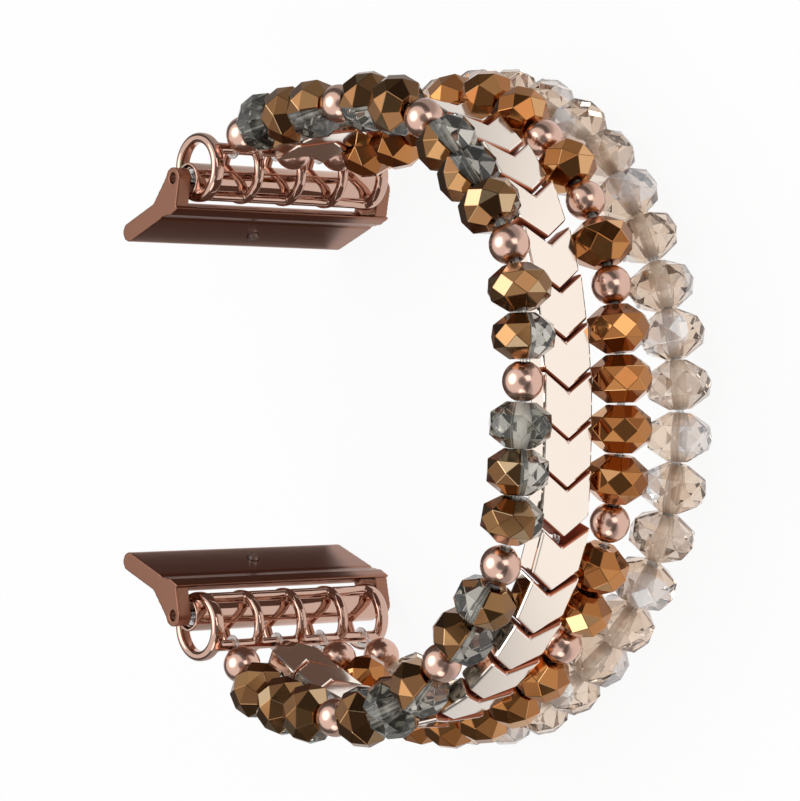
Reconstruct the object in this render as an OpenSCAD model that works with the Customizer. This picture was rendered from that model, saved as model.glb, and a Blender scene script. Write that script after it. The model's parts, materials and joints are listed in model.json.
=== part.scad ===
// Elastic crystal bead watch band. Four strands of beads and links on doubled elastic cord run
// between two cage connectors. Each connector turns on a spring bar held by an adapter that
// slides into the watch. The band lies on its side with the crown side up. The origin is the
// middle of the watch's back, +X points into the loop, +Y to twelve o'clock, +Z to the crown.

/* [Crystals] */
// Diameter of the smoky crystals
smoky_d = 6.2; // [5.6:0.1:6.3]
// Length of a smoky crystal along its hole
smoky_len = 4.3; // [4.2:0.05:4.5]
// Diameter of the copper crystals
copper_d = 6.3; // [5.6:0.1:6.4]
// Length of a copper crystal along its hole
copper_len = 4.6; // [4.45:0.05:4.7]
// Diameter of the champagne crystals
champagne_d = 6.6; // [6:0.1:6.7]
// Length of a champagne crystal along its hole
champagne_len = 4.8; // [4.6:0.05:4.9]
// Facets round a crystal
crystal_sides = 8; // [6:1:10]
// Radius of the flat end of a smoky or copper crystal
rim_r = 1.4; // [1.2:0.05:1.5]
// Radius of the flat end of a champagne crystal
champagne_rim_r = 1.1; // [1:0.05:1.3]
// Radius of the hole through every bead and link
hole_r = 0.6; // [0.55:0.01:0.65]

/* [Metal beads and links] */
// Diameter of the metal balls
ball_d = 3.9; // [3.6:0.1:4.2]
// Width of a chevron link across its two wings
chevron_w = 6.2; // [5.6:0.1:6.3]
// Length of a chevron link along the strand
chevron_len = 4.5; // [4.2:0.05:4.8]
// Distance from a chevron's wing tips to its point
chevron_point = 2; // [1.6:0.1:2.4]
// Thickness of a chevron link
chevron_t = 2.2; // [2:0.1:2.6]

/* [Strands] */
// Radius of each of the two elastic cords in a strand
cord_r = 0.2; // [0.15:0.01:0.22]
// Gap between neighbouring beads where they touch on the inside of a bend
bead_gap = 0.06; // [0.04:0.01:0.1]
// Extra gap at each of the four places where the band flexes
flex_gap = 0.35; // [0.3:0.05:0.5]
// Least gap between neighbouring strands
strand_gap = 0.35; // [0.3:0.05:0.5]
// Height of the chevron strand opposite the watch
chevron_z = 3.5; // [3.2:0.1:3.8]

/* [Connectors] */
// Distance between neighbouring rings of a cage
ring_pitch = 5.65; // [5.5:0.05:5.8]
// Radius of a ring to the middle of its wire
ring_r = 3.1; // [3:0.05:3.2]
// Radius of a ring's wire
wire_r = 0.55; // [0.45:0.01:0.58]
// Depth of an end ring along the hinge tube
end_ring_depth = 1.5; // [1.2:0.1:1.8]
// Angle of the bar that carries the cords, round the ring
bar_angle = 38; // [34:1:42]
// Radius of the bar that carries the cords
bar_r = 0.6; // [0.5:0.05:0.65]
// Angle of the rail that ties the rings together on the watch side
rail_angle = -78; // [-84:1:-70]
// Radius of the rail that ties the rings together
rail_r = 0.5; // [0.4:0.05:0.55]
// Outer radius of the hinge tube
tube_r = 1.75; // [1.65:0.05:1.85]
// How far the hinge tube stands out past the end rings
tube_stand = 0.6; // [0.5:0.05:0.65]

/* [Spring bars] */
// Outer radius of the spring bar's barrel
barrel_r = 1.1; // [1:0.05:1.2]
// Wall of the barrel, and of its closed ends
barrel_wall = 0.32; // [0.28:0.02:0.36]
// Radius of a spring bar's tip
tip_r = 0.5; // [0.4:0.02:0.54]
// Length of the head that keeps a tip in the barrel
head_len = 1.4; // [1:0.1:1.8]
// Radius of the spring's wire
spring_wire_r = 0.12; // [0.1:0.01:0.14]
// Number of curls of a spring bar's spring
spring_curls = 12; // [8:1:16]

/* [Adapters] */
// Width of an adapter over its two ears
adapter_w = 28.6; // [28.2:0.1:29]
// Distance from the middle of the watch to a hinge pin
pin_y = 22.8; // [22.6:0.1:23.2]
// Height of a hinge pin below the watch's back
pin_drop = 2.8; // [2.6:0.1:3.2]
// Radius of the round end of an ear
ear_r = 1.15; // [1.05:0.05:1.25]
// Gap between an ear and the end of the hinge tube
ear_gap = 0.2; // [0.15:0.05:0.3]
// Length of the foot that slides into the watch
foot_len = 5.6; // [5:0.1:6]
// Thickness of the foot
foot_t = 2; // [1.9:0.05:2.2]
// Slope of the foot
foot_slope = 21; // [19:1:23]
// Radius of the catch that locks the foot in the watch
catch_r = 0.85; // [0.75:0.05:0.95]
// How far the catch stands out of the foot
catch_stand = 0.45; // [0.35:0.05:0.5]

/* [Fits] */
// Radial gap of a running fit
run_gap = 0.05; // [0.04:0.01:0.06]
// Gap between a moving piece and its stop
stop_gap = 0.05; // [0.04:0.01:0.08]

/* [Hidden] */
$fn = 48;
eps = 0.01;
golden_turn = 137.5;

// Strand numbers, and the letters of the pieces on a strand
SMOKY = 0;
CHEVRON = 1;
COPPER = 2;
CHAMPAGNE = 3;
STRANDS = [SMOKY, CHEVRON, COPPER, CHAMPAGNE];

// The pieces on each strand from the top connector to the bottom one: b ball, s smoky,
// v chevron, c copper, g champagne
ORDER = [
    "bsssbssbsssbssbsssbssbsssbsssb",
    "bvvvvvvvvvvvvvvvvvvvvvvvvvv",
    "bccccccbcbcbccccbccbcccccccb",
    "bggggggggggggggggggggggggb"];
// The first piece of each of the five flexing stretches, and the end
CUTS = [
    [0, 5, 11, 18, 25, 30],
    [0, 5, 10, 16, 22, 27],
    [0, 5, 10, 17, 23, 28],
    [0, 5, 10, 16, 21, 26]];
// Distance from the middle of the cord bar to the rim of the end piece, at the top connector
// and at the bottom one
STAND = [[1, 1], [1.1, 1.05], [1.2, 1.7], [1.7, 1.7]];

// Each strand's route past its end pieces: x, y and a level, which is 0 at the connector,
// 1 just beside it and 2 opposite the watch
ROUTES = [
    [[2.5, 27.6, 0.4], [5.8, 28.2, 1], [14, 28.8, 1.6], [23, 29.2, 2], [32, 27.2, 2],
     [38.8, 21, 2], [44.8, 14, 2], [46.5, 6, 2], [46, -2.5, 2], [45, -11.5, 2], [41.5, -19, 2],
     [35.5, -25, 2], [28.5, -30.2, 2], [20, -32, 1.9], [10, -31.5, 1.5], [4.5, -29.8, 1]],
    [[3.4, 25.6, 0.3], [9, 27.2, 0.8], [15, 28.4, 1.2], [21, 28.8, 1.6], [27, 28.2, 2],
     [32.5, 26.3, 2], [39, 20.3, 2], [42.8, 12, 2], [44.4, 3, 2], [44.4, -6, 2],
     [43.4, -15, 2], [38.8, -23.3, 2], [32, -29.2, 2], [25, -31.8, 2], [17, -32, 1.5],
     [9, -30.2, 0.9], [4, -28, 0.5]],
    [[4.2, 25.9, 0.4], [8, 26.4, 1], [11.8, 26.4, 1], [15.5, 27.8, 1.2], [20, 29.8, 1.5],
     [24.6, 30.1, 1.8], [29, 29.2, 2], [36.4, 24, 2], [41.5, 17.6, 2], [44.4, 9.7, 2],
     [45.4, 0.8, 2], [44.8, -8.6, 2], [42, -17, 2], [37, -24.6, 2], [30, -30.2, 2],
     [22, -32.8, 1.6], [13.5, -32.7, 1], [7, -30.6, 1], [3.6, -28.2, 0.4]],
    [[3.9, 26, 0.3], [6.8, 28.6, 1], [10.3, 30.4, 1.2], [14.8, 31.2, 1.5],
     [20, 31, 1.8], [27, 29.4, 2], [34.6, 24.7, 2], [40.6, 17, 2],
     [44.4, 8, 2], [46, -1.5, 2], [44.6, -11, 2], [40.4, -19.5, 2], [34.4, -26.2, 2],
     [26.5, -31.3, 2], [17.5, -33.4, 1.6], [10.5, -32.7, 1.3], [6, -30.4, 1], [3.4, -28, 0.3]]];

// Levels of the strands at the connectors' windows, just beside them and opposite the watch
half_link = chevron_w / 2;
near_link_z = ring_pitch / 2 + 0.1;
window_z = [1.5 * ring_pitch, ring_pitch / 2, -ring_pitch / 2, -1.5 * ring_pitch];
function above(z) = z + half_link + strand_gap + smoky_d / 2;
function below(z) = z - half_link - strand_gap - copper_d / 2;
near_z = [above(near_link_z), near_link_z, below(near_link_z),
    below(near_link_z) - copper_d / 2 - strand_gap - champagne_d / 2];
far_z = [above(chevron_z), chevron_z, below(chevron_z), (champagne_d - adapter_w) / 2];

// Connector and hinge places, for the top connector; the bottom one is its mirror
pin = [-pin_drop, pin_y];
ring_offset = [0.5, 1.25];
ring_mid = pin + ring_offset;
bar = ring_mid + ring_r * [cos(bar_angle), sin(bar_angle)];
rail = ring_mid + ring_r * [cos(rail_angle), sin(rail_angle)];
ring_count = 5; // one more than the strands
cage_half = (ring_count - 1) / 2 * ring_pitch;
tube_half = cage_half + wire_r + tube_stand;
barrel_half = tube_half - wire_r;
barrel_bore_r = barrel_r - barrel_wall;
chamber_half = barrel_half - barrel_wall;
spring_half = chamber_half - stop_gap - head_len - stop_gap;
spring_coil_r = barrel_bore_r - stop_gap - spring_wire_r;
mouth_depth = wire_r;
mouth_r = (tube_r + barrel_r) / 2;
tip_recess = 0.6;
// A tip goes in until it is clear of its ear
tip_travel = adapter_w / 2 - tip_recess - tube_half - ear_gap + 0.13;

// How a piece's letter sets its length and its strand's bead size
ball_r = ball_d / 2;
ball_len = 2 * sqrt(ball_r * ball_r - hole_r * hole_r);
wing_slope = sqrt(chevron_point * chevron_point + half_link * half_link) / half_link;
ball_in_notch = ball_r * wing_slope - ball_len / 2;
function piece_len(k) = k == "b" ? ball_len : k == "s" ? smoky_len : k == "v" ? chevron_len
    : k == "c" ? copper_len : champagne_len;

// A smooth curve through hand-chosen points
curve_steps = 6;
function blend_points(a, b, c, d, t) = (2 * b + (c - a) * t
    + (2 * a - 5 * b + 4 * c - d) * t * t + (3 * b - a - 3 * c + d) * t * t * t) / 2;
function curve(p) = let (n = len(p)) concat([for (i = [0:n - 2], k = [0:curve_steps - 1])
    blend_points(p[max(i - 1, 0)], p[i], p[i + 1], p[min(i + 2, n - 1)], k / curve_steps)],
    [p[n - 1]]);

// A strand's route in space, with its reach from the connectors scaled by k
function level_z(s, h) = h < 1 ? window_z[s] + h * (near_z[s] - window_z[s])
    : near_z[s] + (h - 1) * (far_z[s] - near_z[s]);
function reach_point(s, p, k) = [bar.x + (p.x - bar.x) * k, p.y, level_z(s, p.z)];
function route(s, k) = curve(concat([[bar.x, bar.y, window_z[s]]],
    [for (p = ROUTES[s]) reach_point(s, p, k)], [[bar.x, -bar.y, window_z[s]]]));
function run_lengths(q) = [for (i = 0, l = 0; i < len(q); i = i + 1,
    l = i < len(q) ? l + norm(q[i] - q[i - 1]) : l) l];

// The point and the direction at length l along a route q with run lengths c
function span_at(c, l, i = 0) = i >= len(c) - 2 || c[i + 1] >= l ? i : span_at(c, l, i + 1);
function point_at(q, c, l) = let (i = span_at(c, l))
    q[i] + (q[i + 1] - q[i]) * (l - c[i]) / (c[i + 1] - c[i]);
function unit(v) = v / norm(v);
function way_at(q, c, l, length) = unit(point_at(q, c, l + length) - point_at(q, c, l));

// Pieces touch at their rims on the inside of a bend, so the gap on the cord grows with the
// bend. A link's wings reach far up and down, so its gap also grows where the strand tilts.
ball_end_r = hole_r + 0.35;
wedge_share = 1.05; // a curved cord needs a little more than the plain wedge
function end_r(k) = k == "b" ? ball_end_r : k == "v" ? chevron_t / 2 : k == "g" ? champagne_rim_r
    : rim_r;
function is_cut(s, i) = len([for (k = [1:4]) if (CUTS[s][k] == i) k]) > 0;
function gap_once(s, i, q, c, a, b, gap) = let (k = ORDER[s][i], next = ORDER[s][i + 1],
    w = way_at(q, c, a, b - a), v = way_at(q, c, b + gap, piece_len(next)),
    turn = acos(min(1, w * v)), tilt = abs(asin(w.z) - asin(v.z)))
    bead_gap + (is_cut(s, i + 1) ? flex_gap : 0)
    + 2 * wedge_share * min(end_r(k), end_r(next)) * tan(turn / 2)
    + (next == "v" ? chevron_w * tan(tilt / 2) : 0)
    + (k == "b" && next == "v" ? ball_in_notch : 0);
function gap_after(s, i, q, c, a, b, gap = 0.1, n = 4) = n == 0 ? gap
    : gap_after(s, i, q, c, a, b, gap_once(s, i, q, c, a, b, gap), n - 1);

// Start and end of each piece along its strand
function places(s, q, c) = let (n = len(ORDER[s])) [for (i = 0, a = STAND[s][0],
    b = a + piece_len(ORDER[s][0]); i < n; a = i < n - 1 ? b + gap_after(s, i, q, c, a, b) : b,
    i = i + 1, b = i < n ? a + piece_len(ORDER[s][i]) : b) [a, b]];
// How much longer the pieces are than the route at reach k
function excess(s, k) = let (q = route(s, k), c = run_lengths(q), p = places(s, q, c))
    p[len(p) - 1][1] + STAND[s][1] - c[len(c) - 1];
function fitted_reach(s, k0 = 1, k1 = 1.02, n = 4) = n == 0 ? k1
    : let (e0 = excess(s, k0), e1 = excess(s, k1))
    abs(e1 - e0) < 1e-6 ? k1 : fitted_reach(s, k1, k1 - e1 * (k1 - k0) / (e1 - e0), n - 1);

REACH = [for (s = STRANDS) fitted_reach(s)];
ROUTE = [for (s = STRANDS) route(s, REACH[s])];
RUN = [for (s = STRANDS) run_lengths(ROUTE[s])];
PLACE = [for (s = STRANDS) places(s, ROUTE[s], RUN[s])];
// The two end points of every piece
ENDS = [for (s = STRANDS) [for (p = PLACE[s])
    [point_at(ROUTE[s], RUN[s], p[0]), point_at(ROUTE[s], RUN[s], p[1])]]];

// Where the band flexes: the mean of the four strands' cuts
function cut_point(s, k) = let (i = CUTS[s][k]) (ENDS[s][i][0] + ENDS[s][i - 1][1]) / 2;
FLEX = [for (k = [1:4]) (cut_point(0, k) + cut_point(1, k) + cut_point(2, k)
    + cut_point(3, k)) / 4];
echo(reach = REACH, lengths = [for (c = RUN) c[len(c) - 1]]);
echo(flex_axes = [for (f = FLEX) [f.x, f.y]], pin = pin, bar = bar);
spring_pitch = 2 * spring_half / spring_curls;
echo(spring_gap = spring_pitch - 2 * spring_wire_r, tip_travel = tip_travel,
    catch_travel = catch_travel);

// A closed tube swept along points p, mitred at each of them
function tube_way(p, i) = let (n = len(p), a = i > 0 ? unit(p[i] - p[i - 1]) : [0, 0, 0],
    b = i < n - 1 ? unit(p[i + 1] - p[i]) : [0, 0, 0]) unit(a + b);
module tube(p, r, sides) {
    n = len(p);
    ring = [for (i = [0:n - 1]) let (w = tube_way(p, i), side = unit(cross([0, 0, 1], w)),
        up = cross(w, side)) for (j = [0:sides - 1]) let (a = 360 * (j + 0.5) / sides)
        p[i] + r * (cos(a) * side + sin(a) * up)];
    walls = [for (i = [0:n - 2], j = [0:sides - 1]) let (a = i * sides + j,
        b = i * sides + (j + 1) % sides) each [[a, b + sides, b], [a, a + sides, b + sides]]];
    polyhedron(ring, concat([[for (j = [0:sides - 1]) j]], walls,
        [[for (j = [sides - 1:-1:0]) (n - 1) * sides + j]]), convexity = 10);
}

// One crystal along Z: upright diamonds round its middle, and a triangle and a slope between
// them at each end
module crystal(d, length, end_r) {
    n = crystal_sides;
    step = 360 / n;
    shoulder_z = length / 4;
    shoulder_r = d / 2 * cos(step / 2);
    rims = [for (z = [-1, 1], j = [0:n - 1])
        [end_r * cos(j * step), end_r * sin(j * step), z * length / 2]];
    shoulders = [for (z = [-1, 1], j = [0:n - 1])
        [shoulder_r * cos(j * step), shoulder_r * sin(j * step), z * shoulder_z]];
    girdle = [for (j = [0:n - 1]) d / 2 * [cos((j + 0.5) * step), sin((j + 0.5) * step), 0]];
    function rim(t, j) = t * n + j % n;
    function shoulder(t, j) = 2 * n + t * n + j % n;
    function edge(j) = 4 * n + (j + n) % n;
    faces = [for (j = [0:n - 1]) each [
        [shoulder(1, j), edge(j), shoulder(0, j), edge(j - 1)],
        [shoulder(1, j), shoulder(1, j + 1), edge(j)],
        [rim(1, j), rim(1, j + 1), shoulder(1, j + 1), shoulder(1, j)],
        [edge(j), shoulder(0, j + 1), shoulder(0, j)],
        [shoulder(0, j), shoulder(0, j + 1), rim(0, j + 1), rim(0, j)]]];
    ends = [[for (j = [n - 1:-1:0]) rim(1, j)], [for (j = [0:n - 1]) rim(0, j)]];
    difference() {
        polyhedron(concat(rims, shoulders, girdle), concat(faces, ends), convexity = 4);
        cylinder(r = hole_r, h = length + 2, center = true);
    }
}

module ball() {
    difference() {
        sphere(r = ball_r);
        cylinder(r = hole_r, h = ball_d + 2, center = true);
    }
}

// One link along X, with its point at +X and its hole along the strand
module chevron() {
    back = -chevron_len / 2;
    difference() {
        rotate([90, 0, 0]) linear_extrude(height = chevron_t, center = true)
            polygon([[back, 0], [back - chevron_point, -half_link],
                [back + chevron_len - chevron_point, -half_link], [back + chevron_len, 0],
                [back + chevron_len - chevron_point, half_link],
                [back - chevron_point, half_link]]);
        rotate([0, 90, 0]) cylinder(r = hole_r, h = 2 * chevron_len + 2, center = true);
    }
}

// Stands its children, drawn along Z, on a piece's two end points e
module along(e) {
    w = unit(e[1] - e[0]);
    translate((e[0] + e[1]) / 2) rotate([0, acos(w.z), atan2(w.y, w.x)]) children();
}

// The pieces with a letter in stretch k of strand s, each turned a little from the last
module crystals(s, letter, k, d, length, end_r) {
    for (i = [CUTS[s][k - 1]:CUTS[s][k] - 1]) if (ORDER[s][i] == letter)
        along(ENDS[s][i]) rotate([0, 0, i * golden_turn]) crystal(d, length, end_r);
}
module smoky_crystals(k) {
    color([0.46, 0.36, 0.27]) crystals(SMOKY, "s", k, smoky_d, smoky_len, rim_r);
}
module copper_crystals(k) {
    color([0.66, 0.36, 0.16]) crystals(COPPER, "c", k, copper_d, copper_len, rim_r);
}
module champagne_crystals(k) {
    color([0.86, 0.77, 0.68])
        crystals(CHAMPAGNE, "g", k, champagne_d, champagne_len, champagne_rim_r);
}
module gold_balls(k) {
    color([0.8, 0.56, 0.48]) for (s = STRANDS, i = [CUTS[s][k - 1]:CUTS[s][k] - 1])
        if (ORDER[s][i] == "b") along(ENDS[s][i]) ball();
}
module chevron_links(k) {
    color([0.88, 0.68, 0.6]) for (i = [CUTS[CHEVRON][k - 1]:CUTS[CHEVRON][k] - 1])
        if (ORDER[CHEVRON][i] == "v")
            along(ENDS[CHEVRON][i]) rotate([0, -90, 0]) chevron();
}

// The doubled cord of one strand in one stretch. In the end stretches the two cords are one,
// looped round the connector's bar.
cord_side = cord_r + 0.02;
loop_r = bar_r + run_gap + cord_r;
loop_steps = 10;
cord_sides = 8;
function cord_way(p, i) = let (v = p[min(i + 1, len(p) - 1)] - p[max(i - 1, 0)])
    unit([v.x, v.y, 0]);
function beside(p, off) = [for (i = [0:len(p) - 1]) let (w = cord_way(p, i))
    p[i] + off * [-w.y, w.x, 0]];
function reversed(p) = [for (i = [len(p) - 1:-1:0]) p[i]];
function cord_points(s, k) = let (a = CUTS[s][k - 1], b = CUTS[s][k] - 1, e = ENDS[s])
    concat([e[a][0]], [for (i = [a:1:b - 1]) each (i == 0 || i == len(e) - 2)
    ? [e[i][1], e[i + 1][0]] : [(e[i][1] + e[i + 1][0]) / 2]], [e[b][1]]);
// The turn round the bar at m, for a strand whose first point is p0, from tangent to tangent
function bar_loop(m, p0) = let (v = [p0.x - m.x, p0.y - m.y], d = norm(v),
    b = atan(cord_side / d) + acos(loop_r / norm([d, cord_side])), a0 = atan2(v.y, v.x) - b)
    [for (i = [0:loop_steps]) let (a = a0 - (360 - 2 * b) * i / loop_steps)
    [m.x + loop_r * cos(a), m.y + loop_r * sin(a), m.z]];
function looped(p, m) = concat(reversed(beside(p, -cord_side)), bar_loop(m, p[0]),
    beside(p, cord_side));
module elastic_cords(k) {
    color([0.85, 0.86, 0.86]) for (s = STRANDS) {
        p = cord_points(s, k);
        if (k == 1) tube(looped(p, [bar.x, bar.y, p[0].z]), cord_r, cord_sides);
        if (k > 1 && k < 5) for (off = [-cord_side, cord_side])
            tube(beside(p, off), cord_r, cord_sides);
        if (k == 5) let (r = reversed(p))
            tube(looped(r, [bar.x, -bar.y, r[0].z]), cord_r, cord_sides);
    }
}

// One ring of a cage at height z
module ring(z, depth) {
    flat = depth / 2 - wire_r;
    translate([ring_mid.x, ring_mid.y, z]) rotate_extrude() translate([ring_r, 0]) union() {
        for (u = flat > 0 ? [-1, 1] : [0]) translate([0, u * flat]) circle(r = wire_r);
        if (flat > 0) translate([-wire_r, -flat]) square([2 * wire_r, 2 * flat]);
    }
}

// The cage: rings on a hinge tube, with the cord bar and the rail that tie them together
module connector() {
    color([0.83, 0.6, 0.52]) difference() {
        union() {
            for (i = [1:ring_count - 2]) ring(i * ring_pitch - cage_half, 2 * wire_r);
            for (z = [-1, 1])
                ring(z * (cage_half + wire_r - end_ring_depth / 2), end_ring_depth);
            translate([pin.x, pin.y, 0]) cylinder(r = tube_r, h = 2 * tube_half, center = true);
            translate([bar.x, bar.y, 0]) cylinder(r = bar_r, h = 2 * cage_half, center = true);
            translate([rail.x, rail.y, 0]) cylinder(r = rail_r, h = 2 * cage_half,
                center = true);
        }
        translate([pin.x, pin.y, 0]) {
            cylinder(r = barrel_r + run_gap, h = 2 * tube_half + 2, center = true);
            for (z = [-1, 1]) translate([0, 0, z * tube_half])
                cylinder(r = mouth_r, h = 2 * mouth_depth, center = true);
        }
    }
}

module spring_bar_barrel() {
    color([0.72, 0.72, 0.74]) translate([pin.x, pin.y, 0]) difference() {
        cylinder(r = barrel_r, h = 2 * barrel_half, center = true);
        cylinder(r = barrel_bore_r, h = 2 * chamber_half, center = true);
        cylinder(r = tip_r + run_gap, h = 2 * barrel_half + 2, center = true);
    }
}

// A tip on the side z of the spring bar, with its head in the barrel
module spring_bar_tip(z) {
    head_end = chamber_half - stop_gap;
    tip_end = adapter_w / 2 - tip_recess;
    color([0.78, 0.78, 0.8]) translate([pin.x, pin.y, 0]) on_side(z) union() {
        translate([0, 0, head_end - head_len])
            cylinder(r = barrel_bore_r - run_gap, h = head_len);
        translate([0, 0, head_end - eps]) cylinder(r = tip_r, h = tip_end - head_end + eps);
    }
}
module on_side(z) {
    if (z > 0) children();
    else mirror([0, 0, 1]) children();
}

module spring_bar_spring() {
    rings = 8;
    color([0.6, 0.6, 0.62]) tube([for (i = [0:spring_curls * rings])
        [pin.x + spring_coil_r * cos(360 * i / rings), pin.y
        + spring_coil_r * sin(360 * i / rings), (i / (spring_curls * rings) - 0.5)
        * 2 * (spring_half - spring_wire_r)]], spring_wire_r, 6);
}

// The adapter: a sloping foot with round edges, a lip along the watch and two ears
foot_start = pin + [-2.7, -3.3];
foot_way = [-cos(foot_slope), -sin(foot_slope)];
foot_out = [sin(foot_slope), -cos(foot_slope)];
ear_base = pin + [-3.6, -2.7];
lip_top = ring_mid.y - ring_r - wire_r - 0.5;
hole_mid = foot_start + foot_way * foot_len / 2;
module foot_profile() {
    translate(foot_start) circle(r = foot_t / 2);
    translate(foot_start + foot_way * foot_len) circle(r = foot_t / 2);
    translate(foot_start) rotate(180 + foot_slope) translate([0, -foot_t / 2])
        square([foot_len, foot_t]);
}
module lip_profile() {
    polygon([foot_start + [-0.4, -0.8], foot_start + [-0.6, 0.7], [foot_start.x + 2, lip_top],
        [pin.x + 0.5, lip_top], [pin.x + 0.9, lip_top - 0.25], [pin.x + 0.5, lip_top - 0.5],
        [pin.x - 0.4, lip_top - 0.9]]);
}
module ear_profile() {
    translate(pin) circle(r = ear_r);
    polygon([pin + [-ear_r, 0.2], ear_base, foot_start, [pin.x - 0.4, lip_top - 0.9],
        [pin.x + 0.5, lip_top - 0.3], pin + [ear_r, -0.1]]);
}
module adapter() {
    ear_t = adapter_w / 2 - tube_half - ear_gap;
    color([0.68, 0.42, 0.34]) difference() {
        union() {
            linear_extrude(height = adapter_w, center = true) union() {
                foot_profile();
                lip_profile();
            }
            for (z = [-1, 1]) translate([0, 0, z * (adapter_w - ear_t) / 2])
                linear_extrude(height = ear_t, center = true) ear_profile();
        }
        translate([pin.x, pin.y, 0])
            cylinder(r = tip_r + run_gap, h = adapter_w + 2, center = true);
        catch_place() {
            translate([0, 0, -foot_t]) cylinder(r = catch_stem_r + run_gap, h = 2 * foot_t);
            translate([0, 0, catch_floor]) cylinder(r = catch_r + run_gap, h = 2 * foot_t);
        }
    }
}

// The catch stands along Z of its own place, pointing out of the foot at -Z
catch_stem_r = catch_r - 0.25;
catch_lip = 0.35;
catch_flange = 0.3;
catch_floor = catch_lip - foot_t / 2;
plug_t = 0.3;
catch_travel = catch_stand;
module catch_place() {
    translate([hole_mid.x, hole_mid.y, 0]) rotate([0, 0, foot_slope]) rotate([-90, 0, 0])
        children();
}
module catch() {
    color([0.8, 0.8, 0.82]) catch_place() {
        translate([0, 0, catch_floor + stop_gap]) cylinder(r = catch_r, h = catch_flange);
        translate([0, 0, -foot_t / 2 - catch_stand])
            cylinder(r = catch_stem_r, h = catch_stand + catch_lip + stop_gap + eps);
    }
}
module catch_spring() {
    spring_top = foot_t / 2 - plug_t - stop_gap;
    spring_low = catch_floor + 2 * stop_gap + catch_flange;
    color([0.6, 0.6, 0.62]) catch_place() translate([0, 0, spring_low]) difference() {
        cylinder(r = catch_r - 0.1, h = spring_top - spring_low);
        translate([0, 0, -1]) cylinder(r = catch_r - 0.4, h = foot_t + 2);
    }
}
module catch_plug() {
    color([0.68, 0.42, 0.34]) catch_place() translate([0, 0, foot_t / 2 - plug_t])
        cylinder(r = catch_r + run_gap, h = plug_t);
}

// Draws its children at the bottom end, which mirrors the top end
module at_bottom() {
    mirror([0, 1, 0]) children();
}

smoky_crystals(1);  // smoky_crystals_1
smoky_crystals(2);  // smoky_crystals_2
smoky_crystals(3);  // smoky_crystals_3
smoky_crystals(4);  // smoky_crystals_4
smoky_crystals(5);  // smoky_crystals_5
copper_crystals(1);  // copper_crystals_1
copper_crystals(2);  // copper_crystals_2
copper_crystals(3);  // copper_crystals_3
copper_crystals(4);  // copper_crystals_4
copper_crystals(5);  // copper_crystals_5
champagne_crystals(1);  // champagne_crystals_1
champagne_crystals(2);  // champagne_crystals_2
champagne_crystals(3);  // champagne_crystals_3
champagne_crystals(4);  // champagne_crystals_4
champagne_crystals(5);  // champagne_crystals_5
gold_balls(1);  // gold_balls_1
gold_balls(2);  // gold_balls_2
gold_balls(3);  // gold_balls_3
gold_balls(4);  // gold_balls_4
gold_balls(5);  // gold_balls_5
chevron_links(1);  // chevron_links_1
chevron_links(2);  // chevron_links_2
chevron_links(3);  // chevron_links_3
chevron_links(4);  // chevron_links_4
chevron_links(5);  // chevron_links_5
elastic_cords(1);  // elastic_cords_1
elastic_cords(2);  // elastic_cords_2
elastic_cords(3);  // elastic_cords_3
elastic_cords(4);  // elastic_cords_4
elastic_cords(5);  // elastic_cords_5
connector();  // connector_top
at_bottom() connector();  // connector_bottom
spring_bar_barrel();  // spring_bar_barrel_top
at_bottom() spring_bar_barrel();  // spring_bar_barrel_bottom
spring_bar_spring();  // spring_bar_spring_top
at_bottom() spring_bar_spring();  // spring_bar_spring_bottom
spring_bar_tip(1);  // upper_tip_top
at_bottom() spring_bar_tip(1);  // upper_tip_bottom
spring_bar_tip(-1);  // lower_tip_top
at_bottom() spring_bar_tip(-1);  // lower_tip_bottom
adapter();  // adapter_top
at_bottom() adapter();  // adapter_bottom
catch();  // catch_top
at_bottom() catch();  // catch_bottom
catch_spring();  // catch_spring_top
at_bottom() catch_spring();  // catch_spring_bottom
catch_plug();  // catch_plug_top
at_bottom() catch_plug();  // catch_plug_bottom
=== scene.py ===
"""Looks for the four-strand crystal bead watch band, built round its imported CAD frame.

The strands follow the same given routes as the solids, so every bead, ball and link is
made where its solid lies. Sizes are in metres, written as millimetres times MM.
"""

import json
import logging
import math
from dataclasses import dataclass
from enum import Enum
from typing import Callable, Iterable, Optional, Sequence

import bmesh
import bpy
import numpy as np
from mathutils import Matrix, Vector


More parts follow.
